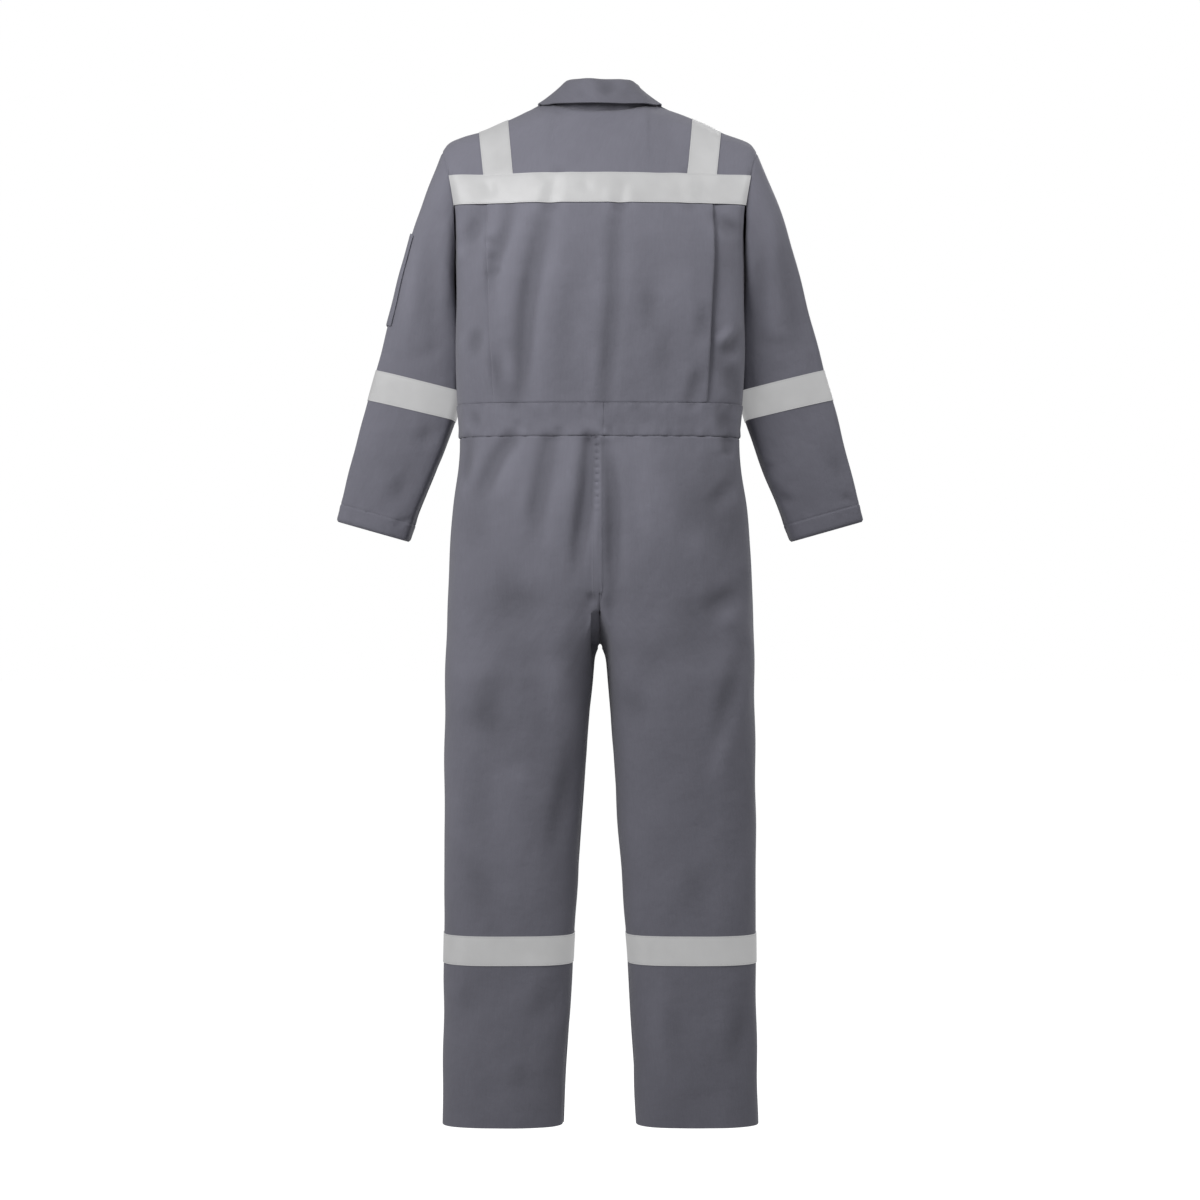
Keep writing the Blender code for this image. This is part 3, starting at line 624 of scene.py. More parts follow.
    def _torso(self, face: Face) -> Surface:
        """The torso from the neck and the shoulder line to the height of the fork."""
        rows = {}
        for here in (face, face.other):
            upper = [self._upper_row(angle, here) for angle in ARMHOLE_ANGLES]
            rows[here] = np.array(upper + [self.body_row(level.z, here) for level in BODY[1:]])
            self._level_out(rows[here])
            self._soften_underarm(rows[here])
        points, behind = rows[face], rows[face.other]
        fork = self._fork_row(FORK_SHARES[1], face)
        at_neck = np.arange(SIDE_COLUMN + 1)[:, None] < NECK_COLUMN
        over = np.where(at_neck, 2 * points[0] - points[1], behind[1])
        tall = np.concatenate((over[None], points, fork[None, INNER_COLUMNS:]))
        centre = mirrored(tall[:, 1])
        centre[-2] = self._fork_row(0.0, face)[1]
        centre[-1] = fork[1]
        beyond = 2 * tall[:, -1] - tall[:, -2]
        beyond[UNDERARM_ROW + 1 : -1] = behind[UNDERARM_ROW:, SIDE_COLUMN - 1]
        grid = np.concatenate((centre[:, None], tall, beyond[:, None]), axis=1)
        return Surface(grid, face.value)

    def _leg(self, face: Face) -> Surface:
        """A trouser leg's back or front, from the crotch seam and the fork to the hem."""
        rows = {}
        for here in (face, face.other):
            fork = [self._fork_row(share, here) for share in FORK_SHARES[:-1]]
            rows[here] = np.array(fork + [self._leg_row(ring, here) for ring in LEG])
        points, behind = rows[face], rows[face.other]
        over = 2 * points[0] - points[1]
        over[INNER_COLUMNS:] = self.body_row(BODY[-2].z, face)
        under = 2 * points[-1] - points[-2]
        tall = np.concatenate((over[None], points, under[None]))
        around = np.concatenate((behind[:1], behind, behind[-1:]))
        grid = np.concatenate((around[:, 1:2], tall, around[:, -2:-1]), axis=1)
        return Surface(grid, face.value)

    def _sleeve(self) -> Surface:
        """The sleeve, all round, from the armhole to the cuff."""
        rings = []
        for ring in SLEEVE:
            back = [self.sleeve_point(ring, angle, Face.BACK) for angle in ARMHOLE_ANGLES[::-1]]
            front = [self.sleeve_point(ring, angle, Face.FRONT) for angle in ARMHOLE_ANGLES[1:-1]]
            rings.append([front[-1], *back, *front, back[0], back[1]])
        points = np.array(rings)
        before = 2 * points[:1] - points[1:2]
        after = 2 * points[-1:] - points[-2:-1]
        return Surface(np.concatenate((before, points, after)), Face.BACK.value)


@dataclass(frozen=True)
class Fold:
    """A soft trough along a line of (x, z) places, with a low ridge on either side.

    Attributes:
        path: The places, from one end to the other.
        depth: The trough's depth. A negative depth makes a ridge.
        width: Half the trough's width.
        head: The share of the depth at the first place.
        foot: The share of the depth at the last place.
    """

    path: tuple[Pair, ...]
    depth: float
    width: float
    head: float = 0.0
    foot: float = 0.0

    ENDS = 0.48
    SHARPNESS = 0.8
    CUT = 0.25
    SMOOTHINGS = 3

    def height(self, x: np.ndarray, z: np.ndarray) -> np.ndarray:
        """How far the fold moves the cloth outwards at each of many places."""
        path = np.array(self.path)
        for _ in range(self.SMOOTHINGS if len(path) > 2 else 0):
            first = path[:-1] * (1 - self.CUT) + path[1:] * self.CUT
            second = path[:-1] * self.CUT + path[1:] * (1 - self.CUT)
            cut = np.stack((first, second), axis=1).reshape(-1, 2)
            path = np.concatenate((path[:1], cut[1:-1], path[-1:]))
        runs = np.linalg.norm(np.diff(path, axis=0), axis=1)
        length = runs.sum()
        nearest = np.full(x.shape, np.inf)
        along = np.zeros(x.shape)
        done = 0.0
        for start, end, run in zip(path[:-1], path[1:], runs):
            way = (end - start) / run
            share = np.clip((x - start[0]) * way[0] + (z - start[1]) * way[1], 0.0, run)
            gap = np.hypot(x - start[0] - way[0] * share, z - start[1] - way[1] * share)
            closer = gap < nearest
            nearest = np.where(closer, gap, nearest)
            along = np.where(closer, (done + share) / length, along)
            done += run
        head = self.head + (1 - self.head) * ease(along / self.ENDS)
        foot = self.foot + (1 - self.foot) * ease((1 - along) / self.ENDS)
        q = (nearest / self.width) ** 2
        return -self.depth * head * foot * (1 - q) * np.exp(-self.SHARPNESS * q)


def folds(*rows: tuple) -> tuple[Fold, ...]:
    """Folds from rows of their depth, width, head, foot and places.

    Args:
        rows: The rows, with depth, width and places in millimetres.

    Returns:
        The folds, in metres.
    """
    made = []
    for depth, width, head, foot, *places in rows:
        path = tuple((x / 1000, z / 1000) for x, z in places)
        made.append(Fold(path, depth / 1000, width / 1000, head, foot))
    return tuple(made)


# Folds of the back, from the shoulders to the waist seam, of the seat and of the legs
TORSO_BACK_FOLDS = folds(
    (6.4, 15, 0.3, 0.6, (69, -123), (76, -148), (81.5, -174)),
    (5.8, 14.5, 0.1, 0.7, (-39, -130), (-35.5, -152), (-31.5, -174)),
    (6.4, 15, 0.3, 0.3, (-143, -125), (-148, -150), (-145, -174)),
    (3.4, 13, 0, 0, (23.4, -129), (22.6, -162)),
    (3, 11, 0, 0, (180, -129), (177, -164)),
    (1.8, 11, 0, 0, (138, -519), (130, -542)),
    (2, 6, 0.2, 0.3, (-6.2, -526), (-6.8, -547)),
    (-2.4, 38, 0.2, 0.2, (-126, -230), (-132, -320), (-136, -430)),
    (-3, 28, 0.2, 0.2, (-212, -270), (-214, -340), (-214, -440)),
    (6.2, 19.5, 0.5, 0.5, (83.1, -179.2), (94.4, -217.9), (104.1, -266.3), (117, -330.9),
     (121.9, -403.5), (126.7, -447.1), (138, -495.5)),
    (4.6, 14.3, 0.6, 0, (147.7, -179.2), (152.5, -217.9), (165.4, -253.4), (178.3, -290.6),
     (183.2, -330.9)),
    (3.2, 13, 0, 0.5, (175.1, -403.5), (167, -443.9), (159, -492.3)),
    (2.2, 7.5, 0.6, 0, (183.2, -230.8), (163.8, -238.9)),
    (2.1, 7, 0.6, 0, (180, -259.9), (160.6, -263.1)),
    (2.2, 7.5, 0.6, 0, (178.3, -288.9), (157.4, -279.3)),
    (-3.5, 19.5, 0.3, 0.2, (121.9, -188.9), (138, -250.2), (155.8, -330.9), (162.2, -382.5)),
    (-2.7, 13, 0, 0, (149.3, -403.5), (138, -447.1), (144.5, -487.5)),
    (-4, 24.7, 0.2, 0.4, (67, -214.7), (71.8, -266.3), (79.9, -330.9), (91.2, -403.5),
     (94.4, -447.1), (96, -492.3)),
    (-1.6, 22.1, 0, 0, (31.5, -330.9), (23.4, -411.6), (28.2, -492.3)),
    (4.9, 16.3, 0.6, 0.6, (-31.5, -176), (-23.4, -221.1), (-21.8, -282.5), (-21.8, -339),
     (-15.3, -403.5), (-12.1, -447.1), (-7.3, -495.5)),
    (-1.9, 14.3, 0, 0.3, (-0.8, -379.3), (4, -435.8), (12.1, -489.1)),
    (2.4, 16.9, 0, 0, (-78.3, -290.6), (-81.5, -339), (-78.3, -403.5)),
    (1.6, 20.8, 0, 0.3, (-110.6, -350.3), (-104.1, -414.8), (-97.6, -489.1)),
    (3.2, 13, 0, 0, (-171.9, -324.4), (-167, -371.3), (-162.2, -411.6)),
    (4, 14.3, 0, 0.6, (-168.7, -431), (-159, -460), (-146.1, -495.5)),
    (5.2, 15, 0, 0, (200.9, -366.4), (202.6, -395.5), (209, -431)),
    (5.4, 16, 0.4, 0, (196.1, -188.9), (205.8, -214.7), (217.1, -243.7)),
    (-2.2, 11.7, 0, 0, (228.4, -230.8), (225.2, -269.6)),
    (-4.4, 11.7, 0, 0, (-218.7, -366.4), (-200.9, -392.2), (-184.8, -406.8)),
    (5, 14.3, 0.5, 0, (-228.4, -385.8), (-207.4, -414.8), (-188, -424.5)),
    (4.6, 18.2, 0, 0.6, (-205.8, -421.3), (-217.1, -460), (-223.5, -495.5)),
    (4.5, 15, 0.5, 0, (-188, -192.1), (-207.4, -208.2), (-226.8, -230.8)),
    (3.4, 11, 0.2, 0.2, (206.5, -504), (198.5, -542)),
    (2.2, 10.4, 0, 0.6, (68.6, -531), (67, -550.4)),
    (2.4, 6.2, 0.1, 0.5, (-15.8, -530), (-16.6, -549)),
    (5.8, 16.9, 0.5, 0.5, (-200.9, -505.2), (-207.4, -550.4)),
    (1.4, 15.6, 0.3, 0, (-65.4, -508.4), (-84.7, -537.5)),
)
SEAT_FOLDS = folds(
    (3.4, 56, 0.3, 0.2, (-150, -790), (-158, -870), (-165, -960)),
    (3, 40, 0.3, 0, (-216, -610), (-218, -700), (-216, -800)),
    (2.6, 52, 0.2, 0.2, (170, -790), (158, -860), (150, -950)),
    (2.2, 44, 0.2, 0, (196, -610), (205, -700), (206, -790)),
    (10, 15.7, 0.8, 0, (15.3, -558.5), (20.2, -602.1), (24.6, -653.7), (32.2, -713.4),
     (36.6, -750.5), (42, -799)),
    (-4.6, 23.8, 0.2, 0, (37.9, -576.2), (50.8, -621.4), (62.1, -673.1), (76.7, -726.3),
     (89.6, -769.9)),
    (5.9, 17.5, 0.8, 0, (81.5, -558.5), (92.8, -613.4), (102.5, -669.8), (108.9, -726.3)),
    (-2.8, 19.6, 0.4, 0, (125.1, -566.5), (149.3, -618.2), (160.6, -673.1)),
    (5.6, 17.5, 0.8, 0, (144.5, -556.9), (165.4, -581.1), (180, -608.5), (196.1, -640.8),
     (209, -673.1)),
    (4.3, 15.4, 0.7, 0, (215.5, -558.5), (220.3, -592.4), (225.2, -637.6)),
    (7.1, 15.1, 0.5, 0, (-7.3, -566.5), (-18.6, -621.4), (-21.8, -677.9), (-20.2, -726.3),
     (-21.8, -782.8), (-21.8, -857.1)),
    (-1.3, 11.2, 0, 0, (-0.8, -605.3), (-2.4, -686), (-2.4, -782.8)),
    (-3.3, 36.4, 0.4, 0, (-68.6, -569.8), (-84.7, -653.7), (-89.6, -750.5)),
    (4.1, 58.8, 0.3, 0, (-162.2, -592.4), (-171.9, -661.8), (-162.2, -750.5)),
    (4.3, 14, 0.8, 0, (-212.2, -558.5), (-209, -585.9)),
    (3.8, 18.2, 0.4, 0, (-225.2, -618.2), (-197.7, -648.9), (-181.6, -679.5)),
    (4.3, 23.8, 0.4, 0, (-238.1, -782.8), (-204.2, -818.3), (-162.2, -850.6)),
    (-2.6, 21, 0, 0, (-226.8, -824.8), (-181.6, -860.3)),
    (3.3, 42, 0, 0, (192.9, -795.7), (128.3, -818.3), (70.2, -853.8)),
    (2.8, 11.2, 0, 0, (15.3, -799), (8.9, -824.8)),
)
LEG_BACK_FOLDS = folds(
    (-2.6, 48, 0.2, 0.2, (150, -1060), (150, -1160), (146, -1280)),
    (-1.8, 30, 0.2, 0.2, (236, -1060), (238, -1160), (240, -1280)),
    (2.6, 31.6, 0, 0, (234.8, -989.4), (183.2, -1015.2), (128.3, -1050.7)),
    (2.6, 30.3, 0, 0, (144.5, -915.2), (189.6, -983), (170.3, -1044.3)),
    (-2.4, 33, 0, 0, (189.6, -1095.9), (136.4, -1115.3), (89.6, -1105.6)),
    (-3.6, 27.5, 0, 0, (75.1, -879.7), (68.6, -960.4), (63.8, -1065.3)),
    (4, 20.6, 0, 0, (42.8, -1015.2), (54.1, -1121.8), (70.2, -1183.1), (91.2, -1291.2)),
    (5, 20.6, 0.3, 0, (-234.8, -892.6), (-210.6, -966.8), (-194.5, -1037.8), (-178.3, -1089.5)),
    (-3.4, 22, 0, 0, (-226.8, -937.8), (-200.9, -1044.3), (-188, -1167)),
    (2.6, 30.3, 0, 0, (-36.3, -947.4), (-55.7, -986.2), (-78.3, -1028.1)),
    (1.6, 38.5, 0, 0, (-89.6, -879.7), (-84.7, -976.5)),
    (2.7, 24.8, 0.4, 0, (70.2, -1434.9), (89.6, -1473.6), (112.2, -1515.6)),
    (2.2, 24.8, 0, 0, (108.9, -1567.2), (144.5, -1635)),
    (2.9, 22, 0.3, 0, (-233.2, -1451), (-226.8, -1518.8), (-217.1, -1599.5)),
    (-1.8, 24.8, 0.4, 0, (-99.3, -1438.1), (-94.4, -1525.3), (-104.1, -1618.9)),
    (1.4, 23.4, 0.4, 0, (-123.5, -1444.6), (-117, -1533.3), (-129.9, -1622.1)),
    (1.6, 20.6, 0.5, 0, (209, -1436.5), (221.9, -1509.1)),
    (2.2, 27.5, 0, 0.4, (238.1, -1218.6), (199.3, -1267), (176.7, -1339.7)),
    (2.2, 27.5, 0, 0.4, (-162.2, -1234.7), (-146.1, -1339.7)),
)
FRONT_FOLDS = folds(
    (3.8, 17.6, 0.5, 0.4, (150, -190), (118, -270), (98, -350), (90, -480)),
    (3.5, 18.7, 0.5, 0.3, (-146, -185), (-122, -262), (-104, -340), (-88, -470)),
    (2.3, 15.4, 0, 0, (62, -240), (52, -350), (58, -440)),
    (2.6, 14.3, 0, 0.5, (-58, -280), (-50, -380), (-62, -492)),
    (3.1, 14.3, 0, 0, (205, -270), (182, -330), (176, -420)),
    (3.1, 14.3, 0, 0, (-208, -290), (-180, -360), (-172, -450)),
    (4, 15.4, 0.7, 0, (70, -557), (60, -640), (46, -730)),
    (3.8, 15.4, 0.7, 0, (-78, -557), (-62, -650), (-50, -745)),
    (3.5, 15.4, 0.8, 0, (150, -557), (170, -620), (190, -690)),
    (3.5, 16.5, 0.8, 0, (-160, -557), (-178, -625), (-195, -700)),
    (3.2, 18.7, 0, 0, (165, -800), (105, -850), (45, -885)),
    (3.2, 19.8, 0, 0, (-158, -790), (-100, -845), (-44, -880)),
    (2.8, 20.9, 0, 0, (190, -860), (120, -925), (50, -955)),
    (2.6, 19.8, 0, 0, (-182, -880), (-110, -930), (-52, -960)),
    (2.9, 19.8, 0, 0, (235, -1060), (180, -1095), (110, -1105)),
    (2.9, 20.9, 0, 0, (-228, -1040), (-170, -1085), (-105, -1090)),
    (2.4, 19.8, 0, 0, (70, -1130), (130, -1165), (190, -1175)),
    (2.4, 19.8, 0, 0, (-75, -1150), (-140, -1175), (-200, -1160)),
    (3.5, 18.7, 0.4, 0, (80, -1430), (110, -1530), (120, -1620)),
    (3.5, 18.7, 0.4, 0, (-190, -1440), (-165, -1540), (-150, -1630)),
)
SLEEVE_FOLDS = folds(
    (-2, 18, 0.3, 0.3, (254, -210), (256, -300), (258, -400)),
    (-2.6, 20, 0, 0, (298, -200), (308, -310), (322, -430)),
    (1.4, 16, 0, 0, (248, -380), (282, -412), (318, -410)),
    (2.8, 17, 0.2, 0, (272, -524), (290, -548), (306, -562)),
    (3, 19, 0.2, 0.2, (314, -604), (334, -640), (354, -658)),
    (1.7, 6, 0.4, 0.2, (306, -677), (338, -690)),
    (-3, 16, 0, 0, (-278, -155), (-284, -300), (-290, -450)),
    (2.4, 17, 0, 0, (-304, -230), (-316, -330), (-330, -430)),
    (1.3, 16, 0, 0, (-250, -370), (-286, -400), (-322, -398)),
    (2.2, 8.5, 0.5, 0, (-264, -588), (-290, -602)),
    (3, 10.5, 0.5, 0, (-288, -632), (-308, -650), (-328, -656)),
    (2.4, 17, 0.2, 0.2, (-382, -558), (-392, -600), (-402, -640)),
    (1.8, 8.5, 0.2, 0.4, (-398, -640), (-420, -652)),
)
COLLAR_FOLDS = folds(
    (4.6, 18, 0.6, 0, (-3, 34), (-12, 20), (-20, 4)),
    (1.2, 8, 0, 0, (40, 12), (24, 6)),
    (1, 8, 0, 0, (-52, 14), (-36, 6)),
)


class Wave(NamedTuple):
    """A broad, shallow wave through the cloth: its height, length, direction and start."""

    height: float
    length: float
    way: tuple[float, float, float]
    start: float


WAVES = (
    Wave(0.0007, 0.190, (0.86, 0.30, 0.41), 0.4),
    Wave(0.0006, 0.128, (0.95, -0.20, -0.24), 2.1),
    Wave(0.0005, 0.084, (0.70, 0.50, 0.51), 4.0),
    Wave(0.0003, 0.052, (0.90, 0.10, -0.42), 1.3),
)


class Sheet:
    """Fine points of a stretch of a surface, the way they face, and their place in the flat cut.

    Attributes:
        rows: The places of its fine rows on the surface.
        columns: The places of its fine columns.
        base: The points on the form, as rows x columns x 3.
        out: The way the form faces at each point.
        across: Each point's distance along its row, from the first column.
        down: Each point's distance down its column, from the first row.
        height: How far each point is moved out of the form.
        wear: How much lighter a ridge is painted, as a painted highlight, or darker a trough, as
            painted shade.
        marks: Its rows of stitches: the edge's letter, the distance from it and the trim.
    """

    TURN = 0.0013
    TURN_REACH = 0.0011
    STITCH_DENT = 0.0003
    STITCH_REACH = 0.0012
    PUCKER_REACH = 0.0100
    PUCKER_RUN = 0.0041
    PUCKER_SWAY = 1.7
    PUCKER_SWAY_RUN = 0.031
    PUCKER_SWELL_RUN = 0.0173

    def __init__(
        self,
        surface: Surface,
        rows: np.ndarray,
        columns: np.ndarray,
        side: Side = Side.LEFT,
    ) -> None:
        """Lays the fine points on the surface."""
        self.rows = rows
        self.columns = columns
        self.base = surface.at(rows, columns, side)
        self.out = surface.out(rows, columns, side)
        self.height = np.zeros(self.base.shape[:2])
        # Painted light and shade, which the cloth's finish adds to its colour.
        self.wear = np.zeros(self.base.shape[:2])
        self.marks: list[tuple[str, float, float]] = []
        widths = np.linalg.norm(np.diff(self.base, axis=1), axis=2)
        heights = np.linalg.norm(np.diff(self.base, axis=0), axis=2)
        self.across = np.pad(np.cumsum(widths, axis=1), ((0, 0), (1, 0)))
        self.down = np.pad(np.cumsum(heights, axis=0), ((1, 0), (0, 0)))

    @property
    def across_left(self) -> np.ndarray:
        """Each point's distance along its row to the last column."""
        return self.across[:, -1:] - self.across

    @property
    def down_left(self) -> np.ndarray:
        """Each point's distance down its column to the last row."""
        return self.down[-1:] - self.down

    @property
    def worn(self) -> np.ndarray:
        """The points as the cloth is worn, moved out of the form by their height."""
        return self.base + self.out * self.height[..., None]

    @property
    def area(self) -> float:
        """The area of the flat cut."""
        widths = np.diff(self.across, axis=1)
        heights = np.diff(self.down, axis=0)
        return float(((widths[1:] + widths[:-1]) * (heights[:, 1:] + heights[:, :-1])).sum() / 4)

    def measure(self, edge: str) -> np.ndarray:
        """Each point's distance from an edge: t(op), b(ottom), f(irst column) or l(ast column)."""
        distances = {"t": self.down, "b": self.down_left, "f": self.across, "l": self.across_left}
        return distances[edge]

    def turn_in(self, edges: str, depth: float = TURN, reach: float = TURN_REACH) -> None:
        """Turns the sheet's edges in, where they are sewn to the next piece.

        Args:
            edges: The edges, by their letters.
            depth: How far the edge is turned in.
            reach: How far from the edge the turn reaches.
        """
        for edge in edges:
            self.height -= depth * bell(self.measure(edge), reach)

    def stitch(self, edges: str, distance: float, trim: float = 0.0, pucker: float = 0.0) -> None:
        """Marks rows of stitches, which pull the cloth in a little.

        Args:
            edges: The edges that the rows run along, by their letters.
            distance: How far from the edge each row runs.
            trim: How far from its ends each row starts and stops.
            pucker: The height of the small waves beside the row.
        """
        for edge in edges:
            away = self.measure(edge) - distance
            self.height -= self.STITCH_DENT * bell(away, self.STITCH_REACH)
            run = self.down if edge in "fl" else self.across
            sway = self.PUCKER_SWAY * np.sin(run / self.PUCKER_SWAY_RUN)
            swell = np.sin(run / self.PUCKER_SWELL_RUN + ord(edge))
            waves = np.sin(run / self.PUCKER_RUN + sway) * swell
            self.height += pucker * waves * bell(away, self.PUCKER_REACH)
            self.marks.append((edge, distance, trim))

    def line(self, edge: str, distance: float, trim: float) -> tuple[np.ndarray, np.ndarray]:
        """A line along an edge, on the worn cloth.

        Args:
            edge: The edge's letter.
            distance: How far from the edge the line runs.
            trim: How much of the line is cut off at both ends.

        Returns:
            Its points, and the way the cloth faces there.
        """
        away, worn = self.measure(edge), np.concatenate((self.worn, self.out), axis=2)
        if edge in "fl":
            away, worn = away.T, worn.transpose(1, 0, 2)
        if edge in "bl":
            away, worn = away[::-1], worn[::-1]
        line = np.array(
            [
                [np.interp(distance, away[:, place], values) for values in worn[:, place].T]
                for place in range(away.shape[1])
            ]
        )
        length = run_along(line[:, :3])
        kept = np.linspace(trim, length[-1] - trim, len(length))
        line = np.column_stack([np.interp(kept, length, axis) for axis in line.T])
        return line[:, :3], line[:, 3:]


class Drape:
    """The cloth's soft folds and waves, and the shade and highlight painted along the folds."""

    FOLDS = {
        Zone.BODY_BACK: TORSO_BACK_FOLDS + SEAT_FOLDS + LEG_BACK_FOLDS,
        Zone.BODY_FRONT: FRONT_FOLDS,
        Zone.SLEEVE: SLEEVE_FOLDS,
        Zone.COLLAR: COLLAR_FOLDS,
    }
    NO_TAPE = (-9.0, -9.0)
    FACING = (0.12, 0.55)
    STIFFENED = 0.45
    STIFF_REACH = 0.3
    WEAR_HEIGHT = 0.0034
    WEAR_RANGE = (-1.0, 0.7)

    def over(self, sheet: Sheet, zone: Zone, tape_rows: Pair = NO_TAPE) -> None:
        """Drapes a sheet.

        Args:
            sheet: The sheet, whose height and painted light are changed.
            zone: The zone whose folds it takes.
            tape_rows: The rows of the surface where a tape stiffens the cloth.
        """
        x, y, z = np.moveaxis(sheet.base, 2, 0)
        low, high = self.FACING
        facing = np.abs(sheet.out[..., 1])
        if zone in (Zone.BODY_BACK, Zone.BODY_FRONT):
            facing = sheet.out[..., 1] * (1 if zone is Zone.BODY_BACK else -1)
        seen = ease((facing - low) / (high - low))
        height = sum(fold.height(x, z) for fold in self.FOLDS[zone]) * seen
        # Painted light: the folds' troughs are darkened as painted shade and their ridges lightened
        # as a painted highlight.
        sheet.wear += np.clip(height / self.WEAR_HEIGHT, *self.WEAR_RANGE)
        for wave in WAVES:
            along = x * wave.way[0] + y * wave.way[1] + z * wave.way[2]
            phase = along * 2 * math.pi / wave.length
            height = height + wave.height * np.sin(phase + wave.start)
        past = np.maximum(0.0, np.maximum(tape_rows[0] - sheet.rows, sheet.rows - tape_rows[1]))
        free = 1 - self.STIFFENED * bell(past, self.STIFF_REACH)
        sheet.height += height * free[:, None]


def set_inputs(node: bpy.types.Node, values: Values) -> None:
    """Sets a node's sockets to plain values."""
    for name, value in values.items():
        node.inputs[name].default_value = value


def new_material(name: str, values: Values) -> bpy.types.Material:
    """A new material whose shader has the given values."""
    made = bpy.data.materials.new(name)
    made.use_nodes = True
    set_inputs(made.node_tree.nodes["Principled BSDF"], values)
    return made


def new_object(name: str, data: bpy.types.ID) -> bpy.types.Object:
    """A new object of the scene, with its data."""
    made = bpy.data.objects.new(name, data)
    bpy.context.scene.collection.objects.link(made)
    return made


def new_mesh(name: str, mesh: bmesh.types.BMesh, material: bpy.types.Material) -> bpy.types.Object:
    """A new mesh object of the scene, shaded smooth and in one material."""
    data = bpy.data.meshes.new(name)
    mesh.to_mesh(data)
    mesh.free()
    data.shade_smooth()
    data.materials.append(material)
    return new_object(name, data)


@dataclass(frozen=True)
class Finish:
    """A finish of the suit, as a material.

    Attributes:
        name: The material's name.
        slot: The record's slot that it stands for.
        colour: Its colour, in linear light.
        roughness: Its roughness.
    """

    name: str
    slot: Slot
    colour: tuple[float, float, float]
    roughness: float

    def material(self) -> bpy.types.Material:
        """The material, made when it is first asked for."""
        known = bpy.data.materials.get(self.name)
        if known:
            return known
        colour = (*self.colour, 1.0)
        made = new_material(self.name, {"Roughness": self.roughness, "Base Color": colour})
        made.diffuse_color = colour
        self.dress(made.node_tree, made.node_tree.nodes["Principled BSDF"])
        return made

    def dress(self, tree: bpy.types.NodeTree, shader: bpy.types.Node) -> None:
        """Adds the finish's own nodes."""


class Pattern:
    """Builds the nodes of a finish's fine pattern."""

    BAND_SCALE = 0.314

    def __init__(self, tree: bpy.types.NodeTree, source: str) -> None:
        """Starts from the piece's own cut ("UV") or from its place in space ("Object")."""
        self.tree = tree
        self.places = tree.nodes.new("ShaderNodeTexCoord").outputs[source]

    def _node(
        self, kind: str, values: Values, links: dict[str | int, Socket], operation: str = ""
    ) -> bpy.types.Node:
        """A node, with its plain values and the sockets that feed it."""
        node = self.tree.nodes.new(f"ShaderNode{kind}")
        if operation:
            node.operation = operation
        set_inputs(node, values)
        for name, socket in links.items():
            self.tree.links.new(socket, node.inputs[name])
        return node

    def _texture(self, kind: str, turned: Values, values: Values) -> bpy.types.Node:
        """A texture over the places, which are turned or stretched first."""
        turn = self._node("Mapping", turned, {"Vector": self.places})
        return self._node(kind, values, {"Vector": turn.outputs["Vector"]})

    def noise(
        self, scale: float, detail: float, roughness: float = 0.5, stretch: float = 1.0
    ) -> Socket:
        """A soft unevenness, with so many swells to a metre, drawn out along the cut's length."""
        values = {"Scale": scale, "Detail": detail, "Roughness": roughness}
        stretched = {"Scale": (1.0, 1.0 / stretch, 1.0)}
        return self._texture("TexNoise", stretched, values).outputs["Fac"]

    def ribs(self, pitch: float, angle: float, shake: float) -> Socket:
        """Ribs of one pitch, at an angle to the cut's length and a little uneven."""
        values = {"Scale": self.BAND_SCALE / pitch, "Distortion": shake}
        turned = {"Rotation": (0.0, 0.0, math.radians(angle))}
        wave = self._texture("TexWave", turned, {**values, "Detail": 1.0, "Detail Scale": 2.0})
        wave.wave_type = "BANDS"
        wave.bands_direction = "X"
        return wave.outputs["Fac"]

    def sum(self, first: Socket, second: Socket, share: float) -> Socket:
        """The first pattern with a share of the second added."""
        return self._node("Math", {1: share}, {0: second, 2: first}, "MULTIPLY_ADD").outputs[0]

    def tint(
        self, pattern: Socket, colour: Sequence[float], spread: float, middle: float = 0.5
    ) -> Socket:
        """A colour that a pattern darkens and lightens by a share, about its middle value."""
        values = {1: 2 * spread, 2: 1 - 2 * spread * middle}
        level = self._node("Math", values, {0: pattern}, "MULTIPLY_ADD")
        dyed = self._node("VectorMath", {0: colour}, {"Scale": level.outputs[0]}, "SCALE")
        return dyed.outputs["Vector"]

    def bump(self, pattern: Socket, height: float, under: Socket | None = None) -> Socket:
        """The way a surface faces where a pattern raises it by a height, on top of another bump."""
        links = {"Height": pattern, "Normal": under} if under else {"Height": pattern}
        return self._node("Bump", {"Strength": 1.0, "Distance": height}, links).outputs["Normal"]


